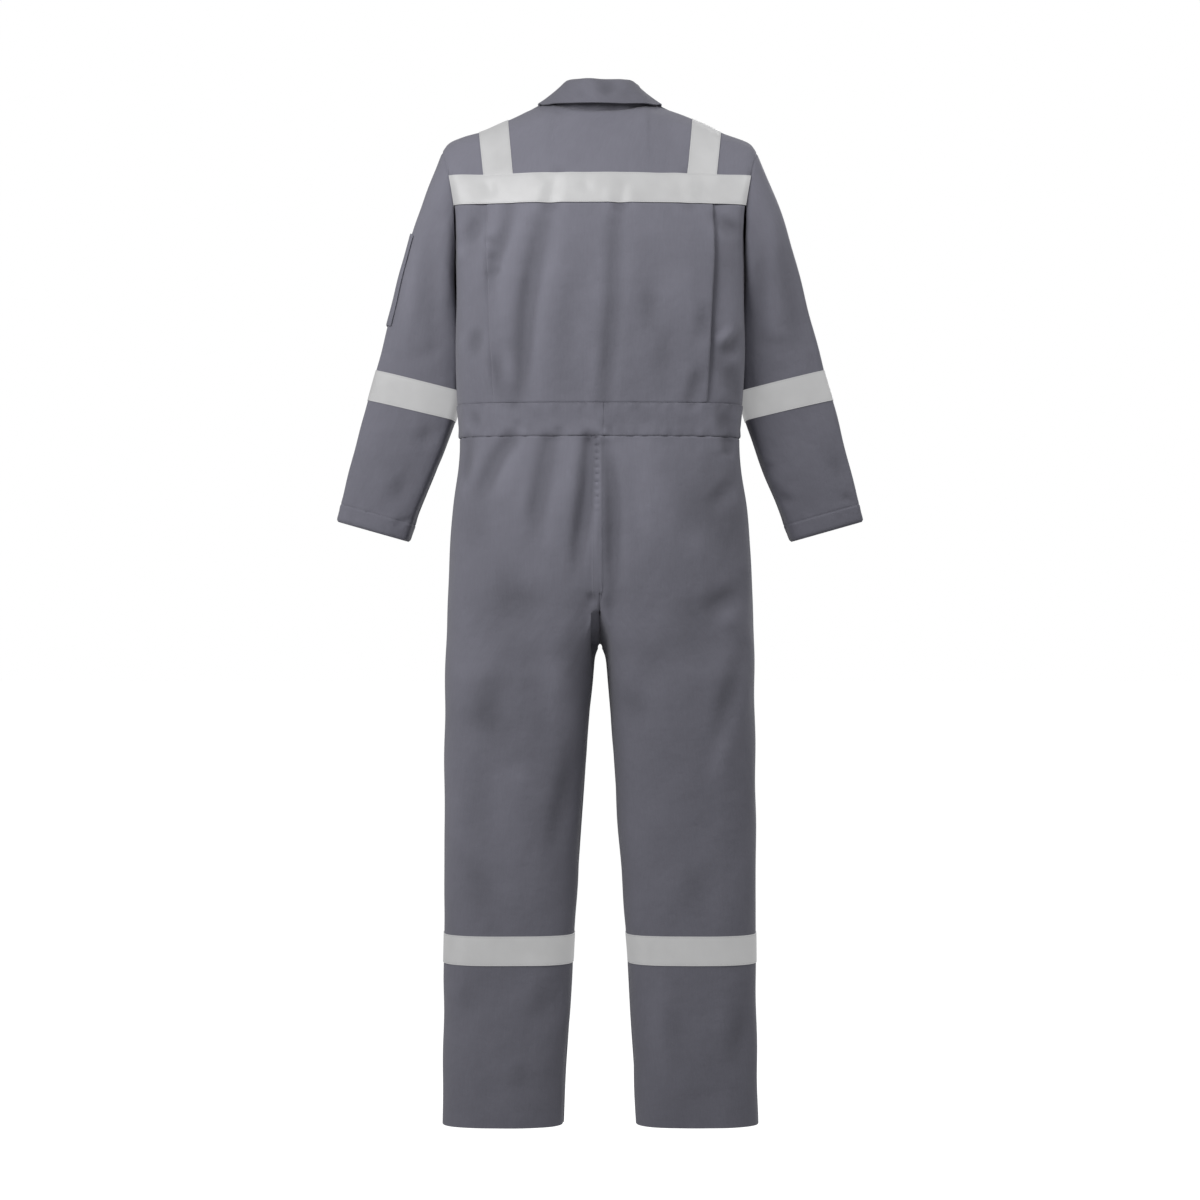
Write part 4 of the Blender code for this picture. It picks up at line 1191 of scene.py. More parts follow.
@dataclass(frozen=True)
class WovenFinish(Finish):
    """A woven cloth: its twill, its thicker threads, its small creases, its uneven dye and painted
    light and shade.

    Attributes:
        twill: The pitch of the twill's ribs.
        thread: The pitch of the threads, as a share of the twill's.
        rib: The height of a rib.
        crease: The height of the small creases.
        hang: The height of the long shallow waves down the cloth.
        wear: How strongly the painted light and shade change the colour.
        sheen: The strength of the sheen.
    """

    twill: float = 0.0009
    thread: float = 0.47
    rib: float = 0.00006
    crease: float = 0.0024
    hang: float = 0.0040
    wear: float = 0.85
    sheen: float = 0.12

    def dress(self, tree: bpy.types.NodeTree, shader: bpy.types.Node) -> None:
        """Adds the weave, the creases, the uneven dye and the painted light and shade."""
        gloss = {"Specular IOR Level": 0.25, "Sheen Weight": self.sheen, "Sheen Roughness": 0.5}
        set_inputs(shader, gloss)
        cut, space = Pattern(tree, "UV"), Pattern(tree, "Object")
        twill = cut.ribs(self.twill, angle=62.0, shake=0.6)
        threads = cut.ribs(self.twill * self.thread, angle=0.0, shake=1.2)
        weave = cut.sum(twill, threads, share=0.45)
        cloudy = space.noise(scale=9.0, detail=4.0, roughness=0.62)
        grain = cut.noise(scale=700.0, detail=2.0)
        streaks = cut.noise(scale=330.0, detail=2.0, stretch=9.0)
        # This node reads the sheets' painted light and shade.
        worn = tree.nodes.new("ShaderNodeAttribute")
        worn.attribute_name = PAINTED_LIGHT
        tone = space.sum(cloudy, weave, share=0.10)
        tone = space.sum(tone, grain, share=0.16)
        tone = space.sum(tone, streaks, share=0.54)
        # Painted light: the painted shade and highlight that the sheets carry are mixed into the
        # cloth's colour here.
        tone = cut.sum(tone, worn.outputs["Fac"], self.wear)
        tint = cut.tint(tone, self.colour, spread=0.10, middle=0.92)
        tree.links.new(tint, shader.inputs["Base Color"])
        waves = cut.noise(scale=17.0, detail=2.0, roughness=0.4, stretch=5.0)
        creases = space.noise(scale=30.0, detail=3.0, roughness=0.45)
        small = space.bump(creases, self.crease, cut.bump(waves, self.hang))
        tree.links.new(cut.bump(weave, self.rib, small), shader.inputs["Normal"])


@dataclass(frozen=True)
class TapeFinish(Finish):
    """A reflective tape: glass beads in a pale silver coat, on a close backing.

    Attributes:
        backing: The pitch of the backing's threads.
        bead: The height of the beads.
        ripple: The height of the soft ripples.
        metallic: How far it mirrors, as silver does.
        glow: Painted light: the white light the tape gives off like a lamp, for what its beads send
            back.
    """

    backing: float = 0.0006
    bead: float = 0.00003
    ripple: float = 0.0010
    metallic: float = 0.15
    glow: float = 0.26

    def dress(self, tree: bpy.types.NodeTree, shader: bpy.types.Node) -> None:
        """Adds the painted light that the tape gives off, the beads and the backing's weave."""
        # Painted light: the tape gives off white light as if it were a lamp, standing in for the
        # light its beads send back.
        light = {"Emission Color": WHITE, "Emission Strength": self.glow}
        set_inputs(shader, {"Metallic": self.metallic, **light})
        cut, space = Pattern(tree, "UV"), Pattern(tree, "Object")
        along, across = (cut.ribs(self.backing, angle, shake=0.3) for angle in (0.0, 90.0))
        weave = cut.sum(along, across, share=1.0)
        beads = cut.noise(scale=1400.0, detail=1.0)
        coat = space.sum(space.noise(scale=14.0, detail=3.0), beads, share=0.25)
        patches = space.noise(scale=34.0, detail=2.0, roughness=0.4)
        coat = space.sum(coat, patches, share=0.8)
        tint = cut.tint(coat, self.colour, spread=0.17, middle=1.02)
        tree.links.new(tint, shader.inputs["Base Color"])
        ripples = space.noise(scale=26.0, detail=2.0, roughness=0.4)
        soft = space.bump(ripples, self.ripple)
        tree.links.new(cut.bump(weave, self.bead, soft), shader.inputs["Normal"])


@dataclass(frozen=True)
class ThreadFinish(Finish):
    """Sewing thread, with its twist."""

    def dress(self, tree: bpy.types.NodeTree, shader: bpy.types.Node) -> None:
        """Adds the uneven colour of spun thread."""
        space = Pattern(tree, "Object")
        tint = space.tint(space.noise(scale=900.0, detail=2.0), self.colour, spread=0.12)
        tree.links.new(tint, shader.inputs["Base Color"])


SUIT_CLOTH = WovenFinish("grey_twill", Slot.CLOTH, (0.156, 0.155, 0.187), 0.85)
REFLECTIVE_TAPE = TapeFinish("beaded_tape", Slot.TAPE, (0.250, 0.250, 0.254), 0.50)
THREADS = {
    Slot.CLOTH: ThreadFinish("cloth_thread", Slot.CLOTH, (0.165, 0.165, 0.190), 0.6),
    Slot.TAPE: ThreadFinish("tape_thread", Slot.TAPE, (0.42, 0.42, 0.43), 0.5),
}


class Tailor:
    """Makes finished pieces from sheets: their mesh, wall and finish."""

    WELD = 0.0004
    STITCH_PITCH = 0.0033
    STITCH_HALF = 0.00125
    THREAD = 0.00026
    THREAD_HEIGHT = 0.8
    THREAD_LIFT = 0.3
    RIM_ROUND = 0.0004
    RIM_ANGLE = 50.0

    @staticmethod
    def _lay(mesh: bmesh.types.BMesh, sheet: Sheet) -> None:
        """Adds a sheet to a mesh as a grid, with its cut as the UV map and its painted light."""
        rows, columns = sheet.height.shape
        cut = mesh.loops.layers.uv.verify()
        wear = mesh.verts.layers.float.get(PAINTED_LIGHT) or mesh.verts.layers.float.new(PAINTED_LIGHT)
        grid = bmesh.ops.create_grid(mesh, x_segments=columns - 1, y_segments=rows - 1, size=1.0)
        worn = sheet.worn
        places = {}
        for vert in grid["verts"]:  # They lie between -1 and 1, the first row at the top
            column = round((vert.co.x + 1) / 2 * (columns - 1))
            row = round((1 - vert.co.y) / 2 * (rows - 1))
            places[vert] = (sheet.across[row, column], -sheet.down[row, column])
            vert.co = worn[row, column]
            vert[wear] = sheet.wear[row, column]
        touching = (face for vert in grid["verts"] for face in vert.link_faces)
        faces = list(dict.fromkeys(touching))
        for face in faces:
            for loop in face.loops:
                loop[cut].uv = places[loop.vert]
        mesh.normal_update()
        middle = sheet.out[rows // 2, columns // 2]
        centre = Vector(worn[rows // 2, columns // 2])
        nearest = min(faces, key=lambda face: (face.calc_center_median() - centre).length_squared)
        if nearest.normal.dot(Vector(middle)) < 0:
            bmesh.ops.reverse_faces(mesh, faces=faces)

    def sew(
        self,
        node: str,
        sheets: Sequence[Sheet],
        rests_on: Sequence[str],
        finish: Finish = SUIT_CLOTH,
        wall: float = CLOTH,
        closed: bool = False,
    ) -> None:
        """Args:
            node: The CAD node that the piece stands for.
            sheets: The sheets that it is made of.
            rests_on: The pieces that carry it; not used.
            finish: Its material.
            wall: Its thickness.
            closed: Whether its sheets lie side by side round a tube.
        """
        mesh = bmesh.new()
        for sheet in sheets:
            self._lay(mesh, sheet)
        border = [vert for vert in mesh.verts if vert.is_boundary]
        bmesh.ops.remove_doubles(mesh, verts=border, dist=self.WELD)
        piece = new_mesh(f"{node}_sewn", mesh, finish.material())
        seams = self._stitch(node, sheets, finish)
        thick = piece.modifiers.new("wall", "SOLIDIFY")
        thick.thickness = wall
        thick.offset = -1.0
        thick.use_quality_normals = True
        rim = piece.modifiers.new("rim", "BEVEL")
        rim.width = min(self.RIM_ROUND, wall / 3)
        rim.segments = 2
        rim.limit_method = "ANGLE"
        rim.angle_limit = math.radians(self.RIM_ANGLE)
        rim.harden_normals = True
        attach(piece, BODY_NAME)
        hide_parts(node)
        widths = [float(sheet.across[:, -1].max()) for sheet in sheets]
        heights = [float(sheet.down[-1].max()) for sheet in sheets]
        width, height = (sum(widths), max(heights)) if closed else (max(widths), sum(heights))
        area = min(sum(sheet.area for sheet in sheets), width * height)
        log.info("%s: cut %.0f x %.0f mm, %.4f m2", piece.name, width * 1000, height * 1000, area)

    def _stitch(
        self, node: str, sheets: Sequence[Sheet], finish: Finish
    ) -> list[bpy.types.Object]:
        """Makes the rows of stitches that are marked on a piece's sheets, as one object."""
        lines = [sheet.line(*mark) for sheet in sheets for mark in sheet.marks]
        if not lines:
            return []
        mesh = bmesh.new()
        for points, out in lines:
            self._stitch_line(mesh, points, out)
        seams = new_mesh(f"{node}_stitching", mesh, THREADS[finish.slot].material())
        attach(seams, BODY_NAME)
        return [seams]

    def _stitch_line(self, mesh: bmesh.types.BMesh, points: np.ndarray, out: np.ndarray) -> None:
        """Adds one row of stitches to a mesh, as small beads of thread."""
        length = run_along(points)
        count = max(1, round(length[-1] / self.STITCH_PITCH))
        size = (self.STITCH_HALF, self.THREAD, self.THREAD * self.THREAD_HEIGHT, 1.0)
        for middle in (np.arange(count) + 0.5) * length[-1] / count:
            start, end = (
                Vector([np.interp(middle + step, length, axis) for axis in points.T])
                for step in (-self.STITCH_HALF, self.STITCH_HALF)
            )
            up = Vector([np.interp(middle, length, axis) for axis in out.T])
            way = (end - start).normalized()
            across = up.cross(way).normalized()
            up = way.cross(across)
            turn = Matrix((way, across, up)).transposed().to_4x4()
            place = Matrix.Translation((start + end) / 2 + up * self.THREAD * self.THREAD_LIFT)
            bead = place @ turn @ Matrix.Diagonal(size)
            bmesh.ops.create_icosphere(mesh, subdivisions=1, radius=1.0, matrix=bead)


@dataclass
class Section:
    """A section of the suit, and what its pieces are made with.

    Attributes:
        figure: The form that they lie on.
        drape: The folds that they take on.
        tailor: The maker of the finished pieces.
    """

    figure: Figure
    drape: Drape
    tailor: Tailor

    def build(self) -> None:
        """Makes the section's pieces."""


class Torso(Section):
    """The yoke, the back with its pleats, the fronts, the placket and the waistband."""

    SPACED_AT_COLUMN = 4.0
    SPACED_AT_ROW = 9.0
    UNDERLAP = CLOTH + SEAM_GAP
    UNDERLAP_EASE = 1.2
    PLEAT_LIFT = {Side.LEFT: 0.0014, Side.RIGHT: 0.0050}
    PLEAT_REACH = {Side.LEFT: 0.006, Side.RIGHT: 0.015}
    PLEAT_ROLL = 0.0020
    PLEAT_ROUND = 0.0014
    GAP_DEPTH = {Side.LEFT: 0.0018, Side.RIGHT: 0.0050}
    GAP_REACH = {Side.LEFT: 0.004, Side.RIGHT: 0.011}
    BAND_LIFT = 0.0009
    BAND_JOINT_COLUMN = -0.14
    BAND_JOINT_TURN = 0.0003
    BAND_STITCH = 0.0022
    BAND_PUCKER = 0.0015
    WAIST_TURN = 0.0007
    NECK_TURN = (0.0030, 0.0017)
    NECK_SEAM_SHADE = 1.6
    PLACKET_LIFT = CLOTH + SEAM_GAP
    PLACKET_TURN = (0.0006, 0.0010)
    PLACKET_STITCH = 0.0060
    PLACKET_TRIM = 0.004

    def _sheet(
        self,
        face: Face,
        rows: Pair,
        columns: Pair,
        side: Side = Side.LEFT,
    ) -> Sheet:
        """A draped sheet on one face of the torso, between two rows and two columns."""
        torso = self.figure.torso[face]
        fine_rows = torso.fine_rows(rows, self.SPACED_AT_COLUMN)
        fine_columns = torso.fine_columns(columns, self.SPACED_AT_ROW)
        sheet = Sheet(torso, fine_rows, fine_columns, side)
        self.drape.over(sheet, face.zone, CHEST_TAPE_ROWS)
        return sheet

    def build(self) -> None:
        """Makes every piece of the torso."""
        self.build_yoke()
        self.build_back()
        for side in Side:
            self.build_front(side)
            for face in Face:
                self.build_band(face, side)
        self.build_placket()

    def build_yoke(self) -> None:
        """The yoke, from the neck and the shoulder line to the lower edge of the chest tape."""
        rows = (0.0, CHEST_TAPE_ROWS[1])
        sheet = self._sheet(Face.BACK, rows, (-SIDE_COLUMN, SIDE_COLUMN))
        sheet.turn_in("fl")
        sheet.turn_in("t", *self.NECK_TURN)
        # Painted shade: a dark line along the neck seam, under the collar's fall.
        sheet.wear -= self.NECK_SEAM_SHADE * bell(sheet.measure("t"), self.NECK_TURN[1])
        self.tailor.sew("back_yoke", [sheet], ["collar_stand"])

    def build_back(self) -> None:
        """The centre back over the two side backs, whose edges run under it at the pleats."""
        rows = (CHEST_TAPE_ROWS[1], WAIST_ROW)
        sheet = self._sheet(Face.BACK, rows, (-PLEAT_COLUMN, PLEAT_COLUMN))
        share = sheet.down / sheet.down[-1:]
        held = np.sqrt(np.maximum(np.sin(math.pi * share), 0.0))[:, :1]
        for side, edge in ((Side.LEFT, "l"), (Side.RIGHT, "f")):
            distance = sheet.measure(edge)
            sheet.height += self.PLEAT_LIFT[side] * bell(distance, self.PLEAT_REACH[side]) * held
            sheet.height -= self.PLEAT_ROLL * bell(distance, self.PLEAT_ROUND)
        sheet.turn_in("t")
        sheet.turn_in("b", self.WAIST_TURN)
        self.tailor.sew("back_centre", [sheet], ["back_yoke"])
        for side in Side:
            flank = self._sheet(Face.BACK, rows, (UNDERLAP_COLUMN, SIDE_COLUMN), side)
            past_pleat = flank.columns - PLEAT_COLUMN
            flank.height -= self.UNDERLAP * (1 - ease(past_pleat / self.UNDERLAP_EASE))
            fold = int(np.abs(past_pleat).argmin())
            past = np.maximum(flank.across - flank.across[:, fold : fold + 1], 0.0)
            flank.height -= self.GAP_DEPTH[side] * bell(past, self.GAP_REACH[side]) * held
            flank.turn_in("tl")
            flank.turn_in("b", self.WAIST_TURN)
            self.tailor.sew(f"back_side_{side.word}", [flank], ["back_yoke"])

    def build_front(self, side: Side) -> None:
        """One front, from the neck and the shoulder line to the waistband."""
        sheet = self._sheet(Face.FRONT, (0.0, WAIST_ROW), (0.0, SIDE_COLUMN), side)
        sheet.turn_in("lb")
        self.tailor.sew(f"front_{side.word}", [sheet], ["back_yoke"])

    def build_band(self, face: Face, side: Side) -> None:
        """A quarter of the waistband."""
        joint = self.BAND_JOINT_COLUMN if face is Face.BACK else 0.0
        left = side is Side.LEFT
        columns = (joint, SIDE_COLUMN) if left else (-SIDE_COLUMN, joint)
        sheet = self._sheet(face, (WAIST_ROW, HIP_ROW), columns)
        sheet.height += self.BAND_LIFT
        sheet.turn_in("bl" if left else "bf")
        sheet.turn_in("t", self.WAIST_TURN)
        sheet.turn_in("f" if left else "l", self.BAND_JOINT_TURN)
        sheet.stitch("tb", self.BAND_STITCH, pucker=self.BAND_PUCKER)
        above = "back_centre" if face is Face.BACK else f"front_{side.word}"
        self.tailor.sew(f"waistband_{face.word}_{side.word}", [sheet], [above])

    def build_placket(self) -> None:
        """The plain placket over the front closure."""
        sheet = self._sheet(Face.FRONT, PLACKET_ROWS, (-PLACKET_COLUMN, PLACKET_COLUMN))
        sheet.height += self.PLACKET_LIFT
        sheet.turn_in("tbfl", *self.PLACKET_TURN)
        sheet.stitch("fl", self.PLACKET_STITCH, self.PLACKET_TRIM)
        self.tailor.sew("front_placket", [sheet], ["front_left"])


class Trousers(Section):
    """The trouser backs and fronts."""

    # The felled seam of the seat: a strip on the left side and a narrow edge on the right
    FELL = {Side.LEFT: 0.0125, Side.RIGHT: 0.0040}
    FELL_LIFT = 0.0016
    FELL_EDGE = 0.0008
    FELL_END = 0.030
    FELL_ROWS = {Side.LEFT: (0.0018, 0.0108), Side.RIGHT: ()}
    FELL_TRIM = 0.012
    FELL_COLUMNS = np.arange(0.0052, 0.022, 0.0012)
    DIMPLE = 0.0034
    DIMPLE_REACH = 0.0034
    DIMPLE_PITCH = 0.0121
    DIMPLES_MIDDLE = 0.0048
    DIMPLES_END = 0.150
    DIMPLES_FADE = 0.080

    # The parting below the fork: its half width, the web's place in depth and the open gap
    PARTING = {Side.LEFT: 0.0148, Side.RIGHT: 0.0036}
    PARTING_HEAD = 0.006
    PARTING_ROUND = 0.016
    WEB_DEPTHS = (0.101, -0.018, -0.055)
    WEB_FOOT = 0.056
    GAP_HALF_WIDTH = 0.0044
    GAP_HEAD_Z = -0.8855
    GAP_HEAD = 0.004

    SEAT_CELL = 0.0027
    INNER_CELL = 0.0034
    SEAT_SPACED_AT = (5.0, 15.0)
    LEG_SPACED_AT = (8.0, 6.0)

    def build(self) -> None:
        """Makes the four trouser pieces."""
        for side in Side:
            for face in Face:
                self.build_piece(face, side)

    def build_piece(self, face: Face, side: Side) -> None:
        """One trouser back or front: the seat and the leg in one piece."""
        torso, leg = self.figure.torso[face], self.figure.leg[face]
        seat_column, seat_row = self.SEAT_SPACED_AT
        leg_column, leg_row = self.LEG_SPACED_AT
        columns = torso.fine_columns((0.0, SIDE_COLUMN), seat_row, extra=self.FELL_COLUMNS)
        inner = leg.fine_columns((0.0, INNER_COLUMNS), leg_row, self.INNER_CELL)
        leg_columns = np.concatenate((inner[:-1], columns + INNER_COLUMNS))
        seat_rows = torso.fine_rows((HIP_ROW, FORK_ROW), seat_column, self.SEAT_CELL)
        seat = Sheet(torso, seat_rows, columns, side)
        tube = Sheet(leg, leg.fine_rows((0.0, HEM_ROW), leg_column), leg_columns, side)
        for sheet in (seat, tube):
            self.hold_apart(sheet, side, 0.0)
        self.part(tube, face, side)
        self.drape.over(seat, face.zone)
        self.drape.over(tube, face.zone, LEG_TAPE_ROWS)
        if face is Face.BACK:
            self.fell(seat, side)
        seat.turn_in("tl")
        tube.turn_in("l")
        name = f"{face.word}_{side.word}"
        self.tailor.sew(f"trouser_{name}", [seat, tube], [f"waistband_{name}"])

    @staticmethod
    def hold_apart(sheet: Sheet, side: Side, distance: float | np.ndarray) -> None:
        """Keeps a sheet's points at least a distance from the centre, on their own side."""
        outwards = np.maximum(sheet.base[..., 0] * side.value, distance)
        sheet.base[..., 0] = side.value * outwards

    def part(self, tube: Sheet, face: Face, side: Side) -> None:
        """Parts the legs: a pocket with a web in it at the back, then an open gap below."""
        y, z = tube.base[..., 1], tube.base[..., 2]
        opened = self.GAP_HALF_WIDTH * ease((self.GAP_HEAD_Z - z) / self.GAP_HEAD)
        if face is Face.BACK:
            share = np.clip((FORK_Z - z) / self.WEB_FOOT, 0.0, 1.0)
            web = sum(depth * share**rise for rise, depth in enumerate(self.WEB_DEPTHS))
            head = ease((FORK_Z - z) / self.PARTING_HEAD)
            pocket = self.PARTING[side] * head * ease((y - web) / self.PARTING_ROUND)
            opened = np.maximum(opened, pocket)
        self.hold_apart(tube, side, opened)

    def fell(self, seat: Sheet, side: Side) -> None:
        """The felled seam at the centre of the seat: a raised strip with small dimples."""
        past_edge = seat.across - self.FELL[side] + self.FELL_EDGE
        strip = 1 - ease(past_edge / (2 * self.FELL_EDGE))
        seat.height += self.FELL_LIFT * strip * ease(seat.down_left / self.FELL_END)
        pull = np.clip(np.sin(2 * math.pi * seat.down / self.DIMPLE_PITCH), 0.0, 1.0)
        fade = ease((self.DIMPLES_END - seat.down) / self.DIMPLES_FADE)
        away = seat.across - self.DIMPLES_MIDDLE * side.value
        seat.height -= self.DIMPLE * pull * fade * bell(away, self.DIMPLE_REACH)
        for distance in self.FELL_ROWS[side]:
            seat.stitch("f", distance, self.FELL_TRIM)


class Sleeves(Section):
    """The two sleeves and the patch pocket on the left one."""

    SLEEVE_CELL = 0.0040
    SPACED_AT = (3.5, 5.0)
    ARMHOLE_TUCK = 0.0014
    ARMHOLE_REACH = 0.003
    HEM = 0.030
    HEM_ROWS = -np.arange(0.0250, 0.0370, 0.0012)
    HEM_LIFT = 0.0004
    HEM_STEP = 0.003
    HEM_ROLL = (0.0030, 0.0022)
    HEM_GROOVE = 0.0007
    HEM_GROOVE_REACH = 0.0018
    HEM_PUCKER = 0.0008
    POCKET_SPACED_AT = (7.0, 4.0)
    POCKET_LIFT = CLOTH + 0.0012
    POCKET_TURN = (0.0008, 0.0010)
    POCKET_STITCH = 0.0065
    POCKET_TRIM = 0.004

    def build(self) -> None:
        """Makes both sleeves and the pocket."""
        sleeve = self.figure.sleeve
        column, row = self.SPACED_AT
        rows = sleeve.fine_rows((0.0, CUFF_ROW), column, self.SLEEVE_CELL, self.HEM_ROWS)
        columns = sleeve.fine_columns((0.0, SLEEVE_ROUND), row)
        for side in Side:
            sheet = Sheet(sleeve, rows, columns, side)
            self.drape.over(sheet, Zone.SLEEVE, SLEEVE_TAPE_ROWS)
            above_hem = sheet.down_left - self.HEM
            sheet.height -= self.ARMHOLE_TUCK * bell(sheet.down, self.ARMHOLE_REACH)
            sheet.height += self.HEM_LIFT * (1 - ease(above_hem / self.HEM_STEP))
            sheet.height -= self.HEM_GROOVE * bell(above_hem, self.HEM_GROOVE_REACH)
            sheet.stitch("b", self.HEM, pucker=self.HEM_PUCKER)
            sheet.turn_in("b", *self.HEM_ROLL)
            self.tailor.sew(f"sleeve_{side.word}", [sheet], [f"front_{side.word}"], closed=True)
        self.build_pocket()

    def build_pocket(self) -> None:
        """The patch pocket on the left sleeve."""
        sleeve = self.figure.sleeve
        column, row = self.POCKET_SPACED_AT
        rows = sleeve.fine_rows(POCKET_ROWS, column)
        sheet = Sheet(sleeve, rows, sleeve.fine_columns(POCKET_COLUMNS, row))
        self.drape.over(sheet, Zone.SLEEVE, SLEEVE_TAPE_ROWS)
        sheet.height += self.POCKET_LIFT
        sheet.turn_in("tbfl", *self.POCKET_TURN)
        sheet.stitch("bfl", self.POCKET_STITCH, self.POCKET_TRIM)
        self.tailor.sew("sleeve_pocket", [sheet], ["sleeve_left"])


class CollarPieces(Section):
    """The collar's stand and its fall, which rests on the shoulders."""

    COLLAR_CELL = 0.003
    COLLAR_SHADE = 0.9
    SHOULDER_ROWS = np.arange(0.0, 8.0, 0.5)
    SHOULDER_COLUMNS = np.arange(-10.0, 10.1, 0.5)
    STAND_FOOT = -0.0050
    STAND_INSET = 0.0006
    STAND_HEAD = 0.0060
    CLEARANCE = 0.0058
    BULGE = 0.0045
    BULGE_SHARES = (0.12, 0.5)
    ROLL_IN = 0.0030
    ROLL_DROP = 0.0032

    def _cloth(self) -> BVHTree:
        """The shoulders that the fall rests on, as a tree of coarse faces."""
        points: list[Vector] = []
        faces: list[tuple[int, ...]] = []
        for face in Face:
            grid = self.figure.torso[face].at(self.SHOULDER_ROWS, self.SHOULDER_COLUMNS)
            rows, columns = grid.shape[:2]
            start = len(points)
            points += [Vector(point) for point in grid.reshape(-1, 3)]
            for r in range(rows - 1):
                for c in range(columns - 1):
                    corner = start + r * columns + c
                    faces.append((corner, corner + 1, corner + columns + 1, corner + columns))
        return BVHTree.FromPolygons(points, faces)

    def _lines(self) -> tuple[np.ndarray, np.ndarray, np.ndarray]:
        """The left half of the neck seam, of the roll line and of the fall's edge."""
        cloth = self._cloth()
        edge = [Vector(place.edge) for place in COLLAR]
        for point in edge:
            nearest, _normal, _index, distance = cloth.find_nearest(point)
            if distance < self.CLEARANCE:
                point += (point - nearest).normalized() * (self.CLEARANCE - distance)
        corners = np.array([Figure.neck_point(turn) for turn in NECK_TURNS])
        turns = [place.turn for place in COLLAR]
        seam = np.column_stack([np.interp(turns, NECK_TURNS, axis) for axis in corners.T])
        return seam, np.array([place.roll for place in COLLAR]), np.array(edge)

    @staticmethod
    def _surface(lines: Sequence[np.ndarray]) -> Surface:
        """A smooth surface through lines that run from the nape to the left front."""
        rows = np.array([2 * lines[0] - lines[1], *lines, 2 * lines[-1] - lines[-2]])
        before = mirrored(rows[:, 1:2])
        after = 2 * rows[:, -1:] - rows[:, -2:-1]
        return Surface(np.concatenate((before, rows, after), axis=1), Face.BACK.value)

    def build(self) -> None:
        """Makes the stand and the fall."""
        seam, roll, edge = self._lines()
        way = (roll - seam) / np.linalg.norm(roll - seam, axis=1, keepdims=True)
        head = roll - way * self.STAND_HEAD
        away = (edge - seam) * np.array((1.0, 1.0, 0.0))
        away /= np.linalg.norm(away, axis=1, keepdims=True)
        foot = seam - away * self.STAND_INSET + np.array((0.0, 0.0, self.STAND_FOOT))
        self._piece("collar_stand", [foot, (foot + head) / 2, head], "collar_fall")
        inside = roll - away * self.ROLL_IN - np.array((0.0, 0.0, self.ROLL_DROP))
        bulge = away * self.BULGE * np.array([[place.bulge] for place in COLLAR])
        bulged = [roll + (edge - roll) * share + bulge for share in self.BULGE_SHARES]
        self._piece("collar_fall", [inside, roll, *bulged, edge], "back_yoke")

    def _piece(self, node: str, lines: Sequence[np.ndarray], rests_on: str) -> None:
        """Makes one piece of the collar through its lines."""
        surface = self._surface(lines)
        ends = (-COLLAR_END_COLUMN, COLLAR_END_COLUMN)
        rows = surface.fine_rows((0.0, len(lines) - 1.0), column=0.0, cell=self.COLLAR_CELL)
        columns = surface.fine_columns(ends, row=1.0, cell=TAPE_CELL)
        sheet = Sheet(surface, rows, columns)
        self.drape.over(sheet, Zone.COLLAR)
        # Painted shade: the whole collar is drawn darker than the rest of the cloth.
        sheet.wear -= self.COLLAR_SHADE
        self.tailor.sew(node, [sheet], [rests_on], wall=COLLAR_CLOTH)


class Tapes(Section):
    """The reflective tapes, sewn on the cloth."""

    LIFT = SEAM_GAP + TAPE
    STITCH_EDGE = 0.0022

    def _sheet(
        self,
        surface: Surface,
        rows: Pair,
        columns: Pair,
        zone: Zone,
        side: Side = Side.LEFT,
        edges: str = "tb",
        stiff: Pair | None = None,
    ) -> Sheet:
        """A draped sheet of tape, with its rows of stitches.

        Args:
            surface: The surface that it lies on.
            rows: Its first and last row.
            columns: Its first and last column.
            zone: The zone whose folds it takes.
            side: The side of the suit.
            edges: The edges that are stitched.
            stiff: The rows where a tape stiffens the cloth, if they aren't its own.

        Returns:
            The sheet.
        """
        fine_rows = surface.fine_rows(rows, sum(columns) / 2, TAPE_CELL)
        fine_columns = surface.fine_columns(columns, sum(rows) / 2, TAPE_CELL)
        sheet = Sheet(surface, fine_rows, fine_columns, side)
        self.drape.over(sheet, zone, stiff or rows)
        sheet.height += self.LIFT
        sheet.stitch(edges, self.STITCH_EDGE)
        return sheet

    def _sew(self, node: str, sheets: list[Sheet], *rests_on: str, closed: bool = False) -> None:
        """Sews one tape on."""
        self.tailor.sew(node, sheets, rests_on, REFLECTIVE_TAPE, TAPE, closed)

    def build(self) -> None:
        """Makes every tape."""
        torso, leg = self.figure.torso, self.figure.leg
        wide, half = (-SIDE_COLUMN, SIDE_COLUMN), (PLACKET_COLUMN, SIDE_COLUMN)
        over_shoulder = (0.0, CHEST_TAPE_ROWS[0]), SHOULDER_TAPE_COLUMNS
        chest = self._sheet(torso[Face.BACK], CHEST_TAPE_ROWS, wide, Zone.BODY_BACK)
        self._sew("tape_back", [chest], "back_yoke")
        for side in Side:
            word = side.word
            front = self._sheet(torso[Face.FRONT], CHEST_TAPE_ROWS, half, Zone.BODY_FRONT, side)
            self._sew(f"tape_front_{word}", [front], f"front_{word}")
            strap = [
                self._sheet(torso[face], *over_shoulder, face.zone, side, "fl", CHEST_TAPE_ROWS)
                for face in Face
            ]
            self._sew(f"tape_shoulder_{word}", strap, "back_yoke", f"front_{word}")
            columns = (0.0, SLEEVE_ROUND)
            arm = self._sheet(
                self.figure.sleeve, SLEEVE_TAPE_ROWS, columns, Zone.SLEEVE, side
            )
            self._sew(f"tape_sleeve_{word}", [arm], f"sleeve_{word}", closed=True)
            columns = (0.0, LEG_SIDE_COLUMN)
            ring = [
                self._sheet(leg[face], LEG_TAPE_ROWS, columns, face.zone, side) for face in Face
            ]
            self._sew(f"tape_leg_{word}", ring, f"trouser_back_{word}", closed=True)


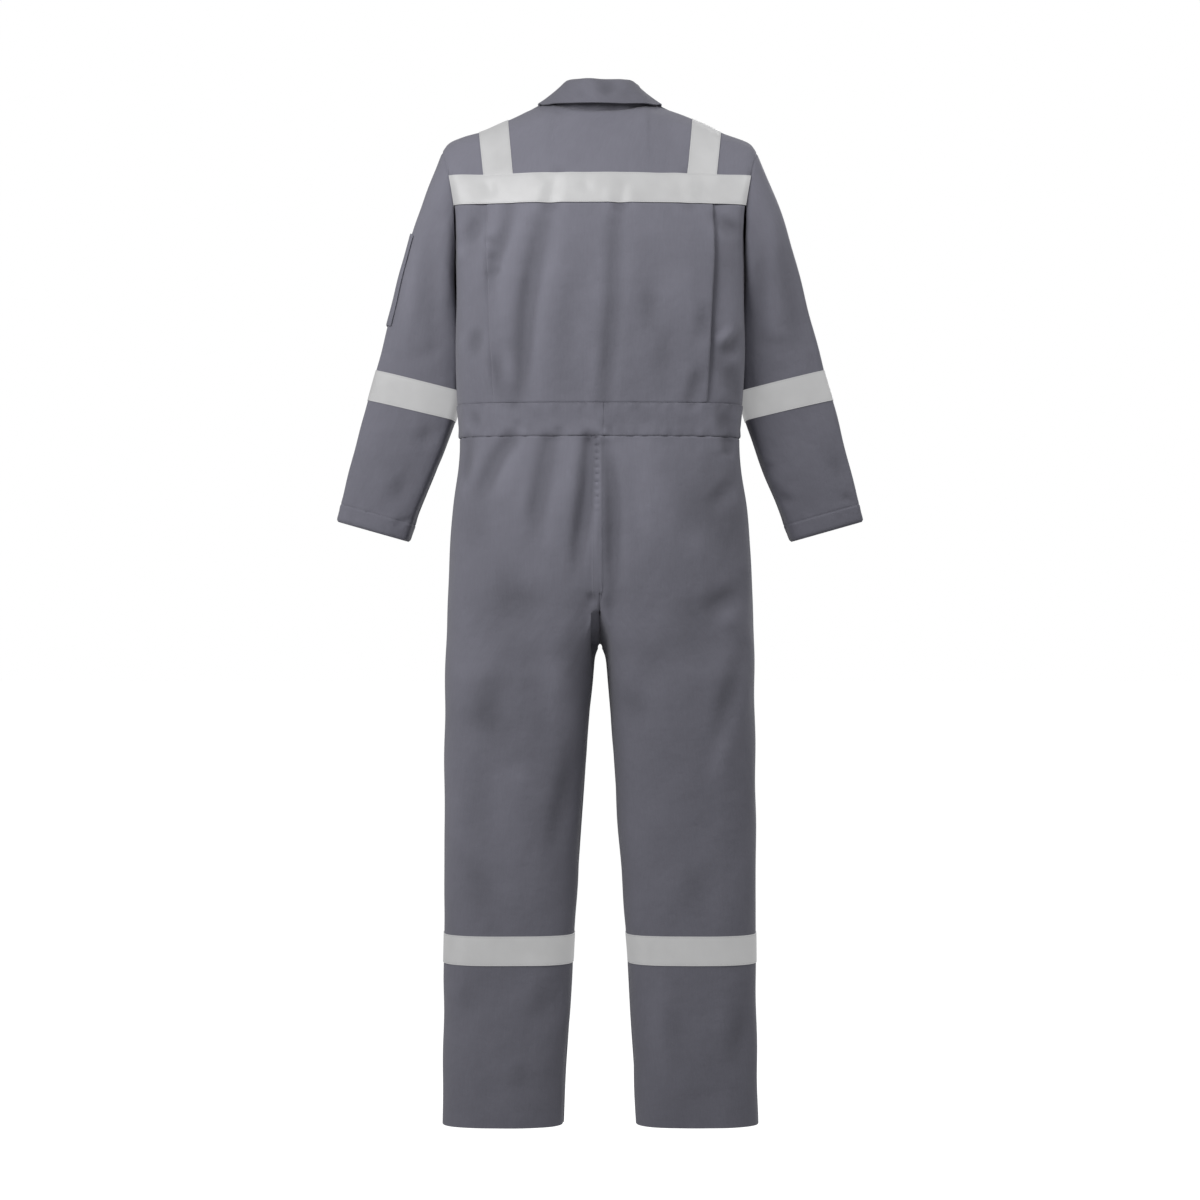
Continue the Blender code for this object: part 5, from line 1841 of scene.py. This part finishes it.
class Lamp(NamedTuple):
    """A soft round lamp, which shines at a height of the suit's middle line."""

    name: str
    place: tuple[float, float, float]
    target_z: float
    size: float
    watts: float


LAMPS = (
    Lamp("key", (0.92, 1.31, 0.40), -0.25, 0.9, 22.7),
    Lamp("high", (-1.45, 0.68, 0.90), -0.25, 0.9, 14.0),
    Lamp("low", (1.45, 0.68, -1.00), -1.25, 0.9, 3.4),
    Lamp("front", (-1.10, -2.60, 0.70), -0.80, 2.0, 45.0),
)


@dataclass(frozen=True)
class Studio:
    """The plain floor, the soft light and the camera.

    Attributes:
        distance: The camera's distance from the suit's middle plane.
        frame_width: The width that it sees at that plane.
        axis_z: Its height.
        sensor: The width of its sensor, in millimetres.
        reach: How far it sees.
        floor_z: The floor's height.
        floor_size: Half the floor's width.
        floor_grey: The floor's colour.
        floor_glow: The light that the floor gives off.
        sky_light: The strength of the even light on the suit.
    """

    distance: float = 5.5
    frame_width: float = 1.98
    axis_z: float = -0.8151
    sensor: float = 36.0
    reach: float = 60.0
    floor_z: float = -1.93
    floor_size: float = 40.0
    floor_grey: float = 0.35
    floor_glow: float = 0.88
    sky_light: float = 0.37

    def build(self) -> None:
        """Sets the studio up."""
        self.build_floor()
        self.build_world()
        for lamp in LAMPS:
            self.build_light(lamp)
        self.build_camera()

    def build_floor(self) -> None:
        """The pale floor."""
        mesh = bmesh.new()
        bmesh.ops.create_grid(mesh, x_segments=2, y_segments=2, size=self.floor_size)
        lowered = Vector((0.0, 0.0, self.floor_z))
        bmesh.ops.translate(mesh, verts=mesh.verts[:], vec=lowered)
        matt = {
            "Base Color": (self.floor_grey, self.floor_grey, self.floor_grey, 1.0),
            "Roughness": 1.0,
            "Specular IOR Level": 0.0,
            "Emission Color": WHITE,
            "Emission Strength": self.floor_glow,
        }
        floor = new_mesh("floor", mesh, new_material("floor", matt))
        floor.visible_diffuse = False
        floor.visible_glossy = False

    def build_world(self) -> None:
        """A white backdrop, and a softer even light from all round."""
        world = bpy.data.worlds.new("studio")
        bpy.context.scene.world = world
        world.use_nodes = True
        tree = world.node_tree
        tree.nodes.clear()
        path = tree.nodes.new("ShaderNodeLightPath")
        either = tree.nodes.new("ShaderNodeMixShader")
        end = tree.nodes.new("ShaderNodeOutputWorld")
        tree.links.new(path.outputs["Is Camera Ray"], either.inputs[0])
        for socket, strength in ((1, self.sky_light), (2, 1.0)):
            light = tree.nodes.new("ShaderNodeBackground")
            set_inputs(light, {"Color": WHITE, "Strength": strength})
            tree.links.new(light.outputs[0], either.inputs[socket])
        tree.links.new(either.outputs[0], end.inputs[0])

    @staticmethod
    def build_light(lamp: Lamp) -> None:
        """A soft area light, which the camera doesn't see."""
        light = bpy.data.lights.new(lamp.name, "AREA")
        light.shape = "DISK"
        light.size = lamp.size
        light.energy = lamp.watts
        placed = new_object(lamp.name, light)
        placed.location = lamp.place
        way = Vector((0.0, 0.0, lamp.target_z)) - Vector(lamp.place)
        placed.rotation_euler = way.to_track_quat("-Z", "Y").to_euler()
        placed.visible_camera = False

    def build_camera(self) -> None:
        """The camera, square to the back of the suit at the middle of its height."""
        data = bpy.data.cameras.new("camera")
        data.sensor_width = self.sensor
        data.lens = self.sensor * self.distance / self.frame_width
        data.clip_end = self.reach
        camera = new_object("camera", data)
        camera.location = (0.0, self.distance, self.axis_z)
        camera.rotation_euler = (math.radians(90.0), 0.0, math.radians(180.0))
        scene = bpy.context.scene
        scene.camera = camera
        scene.view_settings.view_transform = "Standard"


def corners(box: Sequence[Vector]) -> list[list[float]]:
    """A box's two corners as plain lists."""
    return [list(corner) for corner in box]


def main() -> None:
    """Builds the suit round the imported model, and the studio."""
    logging.basicConfig(level=logging.INFO, format="%(message)s")
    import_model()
    tools = (Figure(), Drape(), Tailor())
    for section in (Torso, Trousers, Sleeves, CollarPieces, Tapes):
        section(*tools).build()
    Studio().build()


if __name__ == "__main__":
    main()
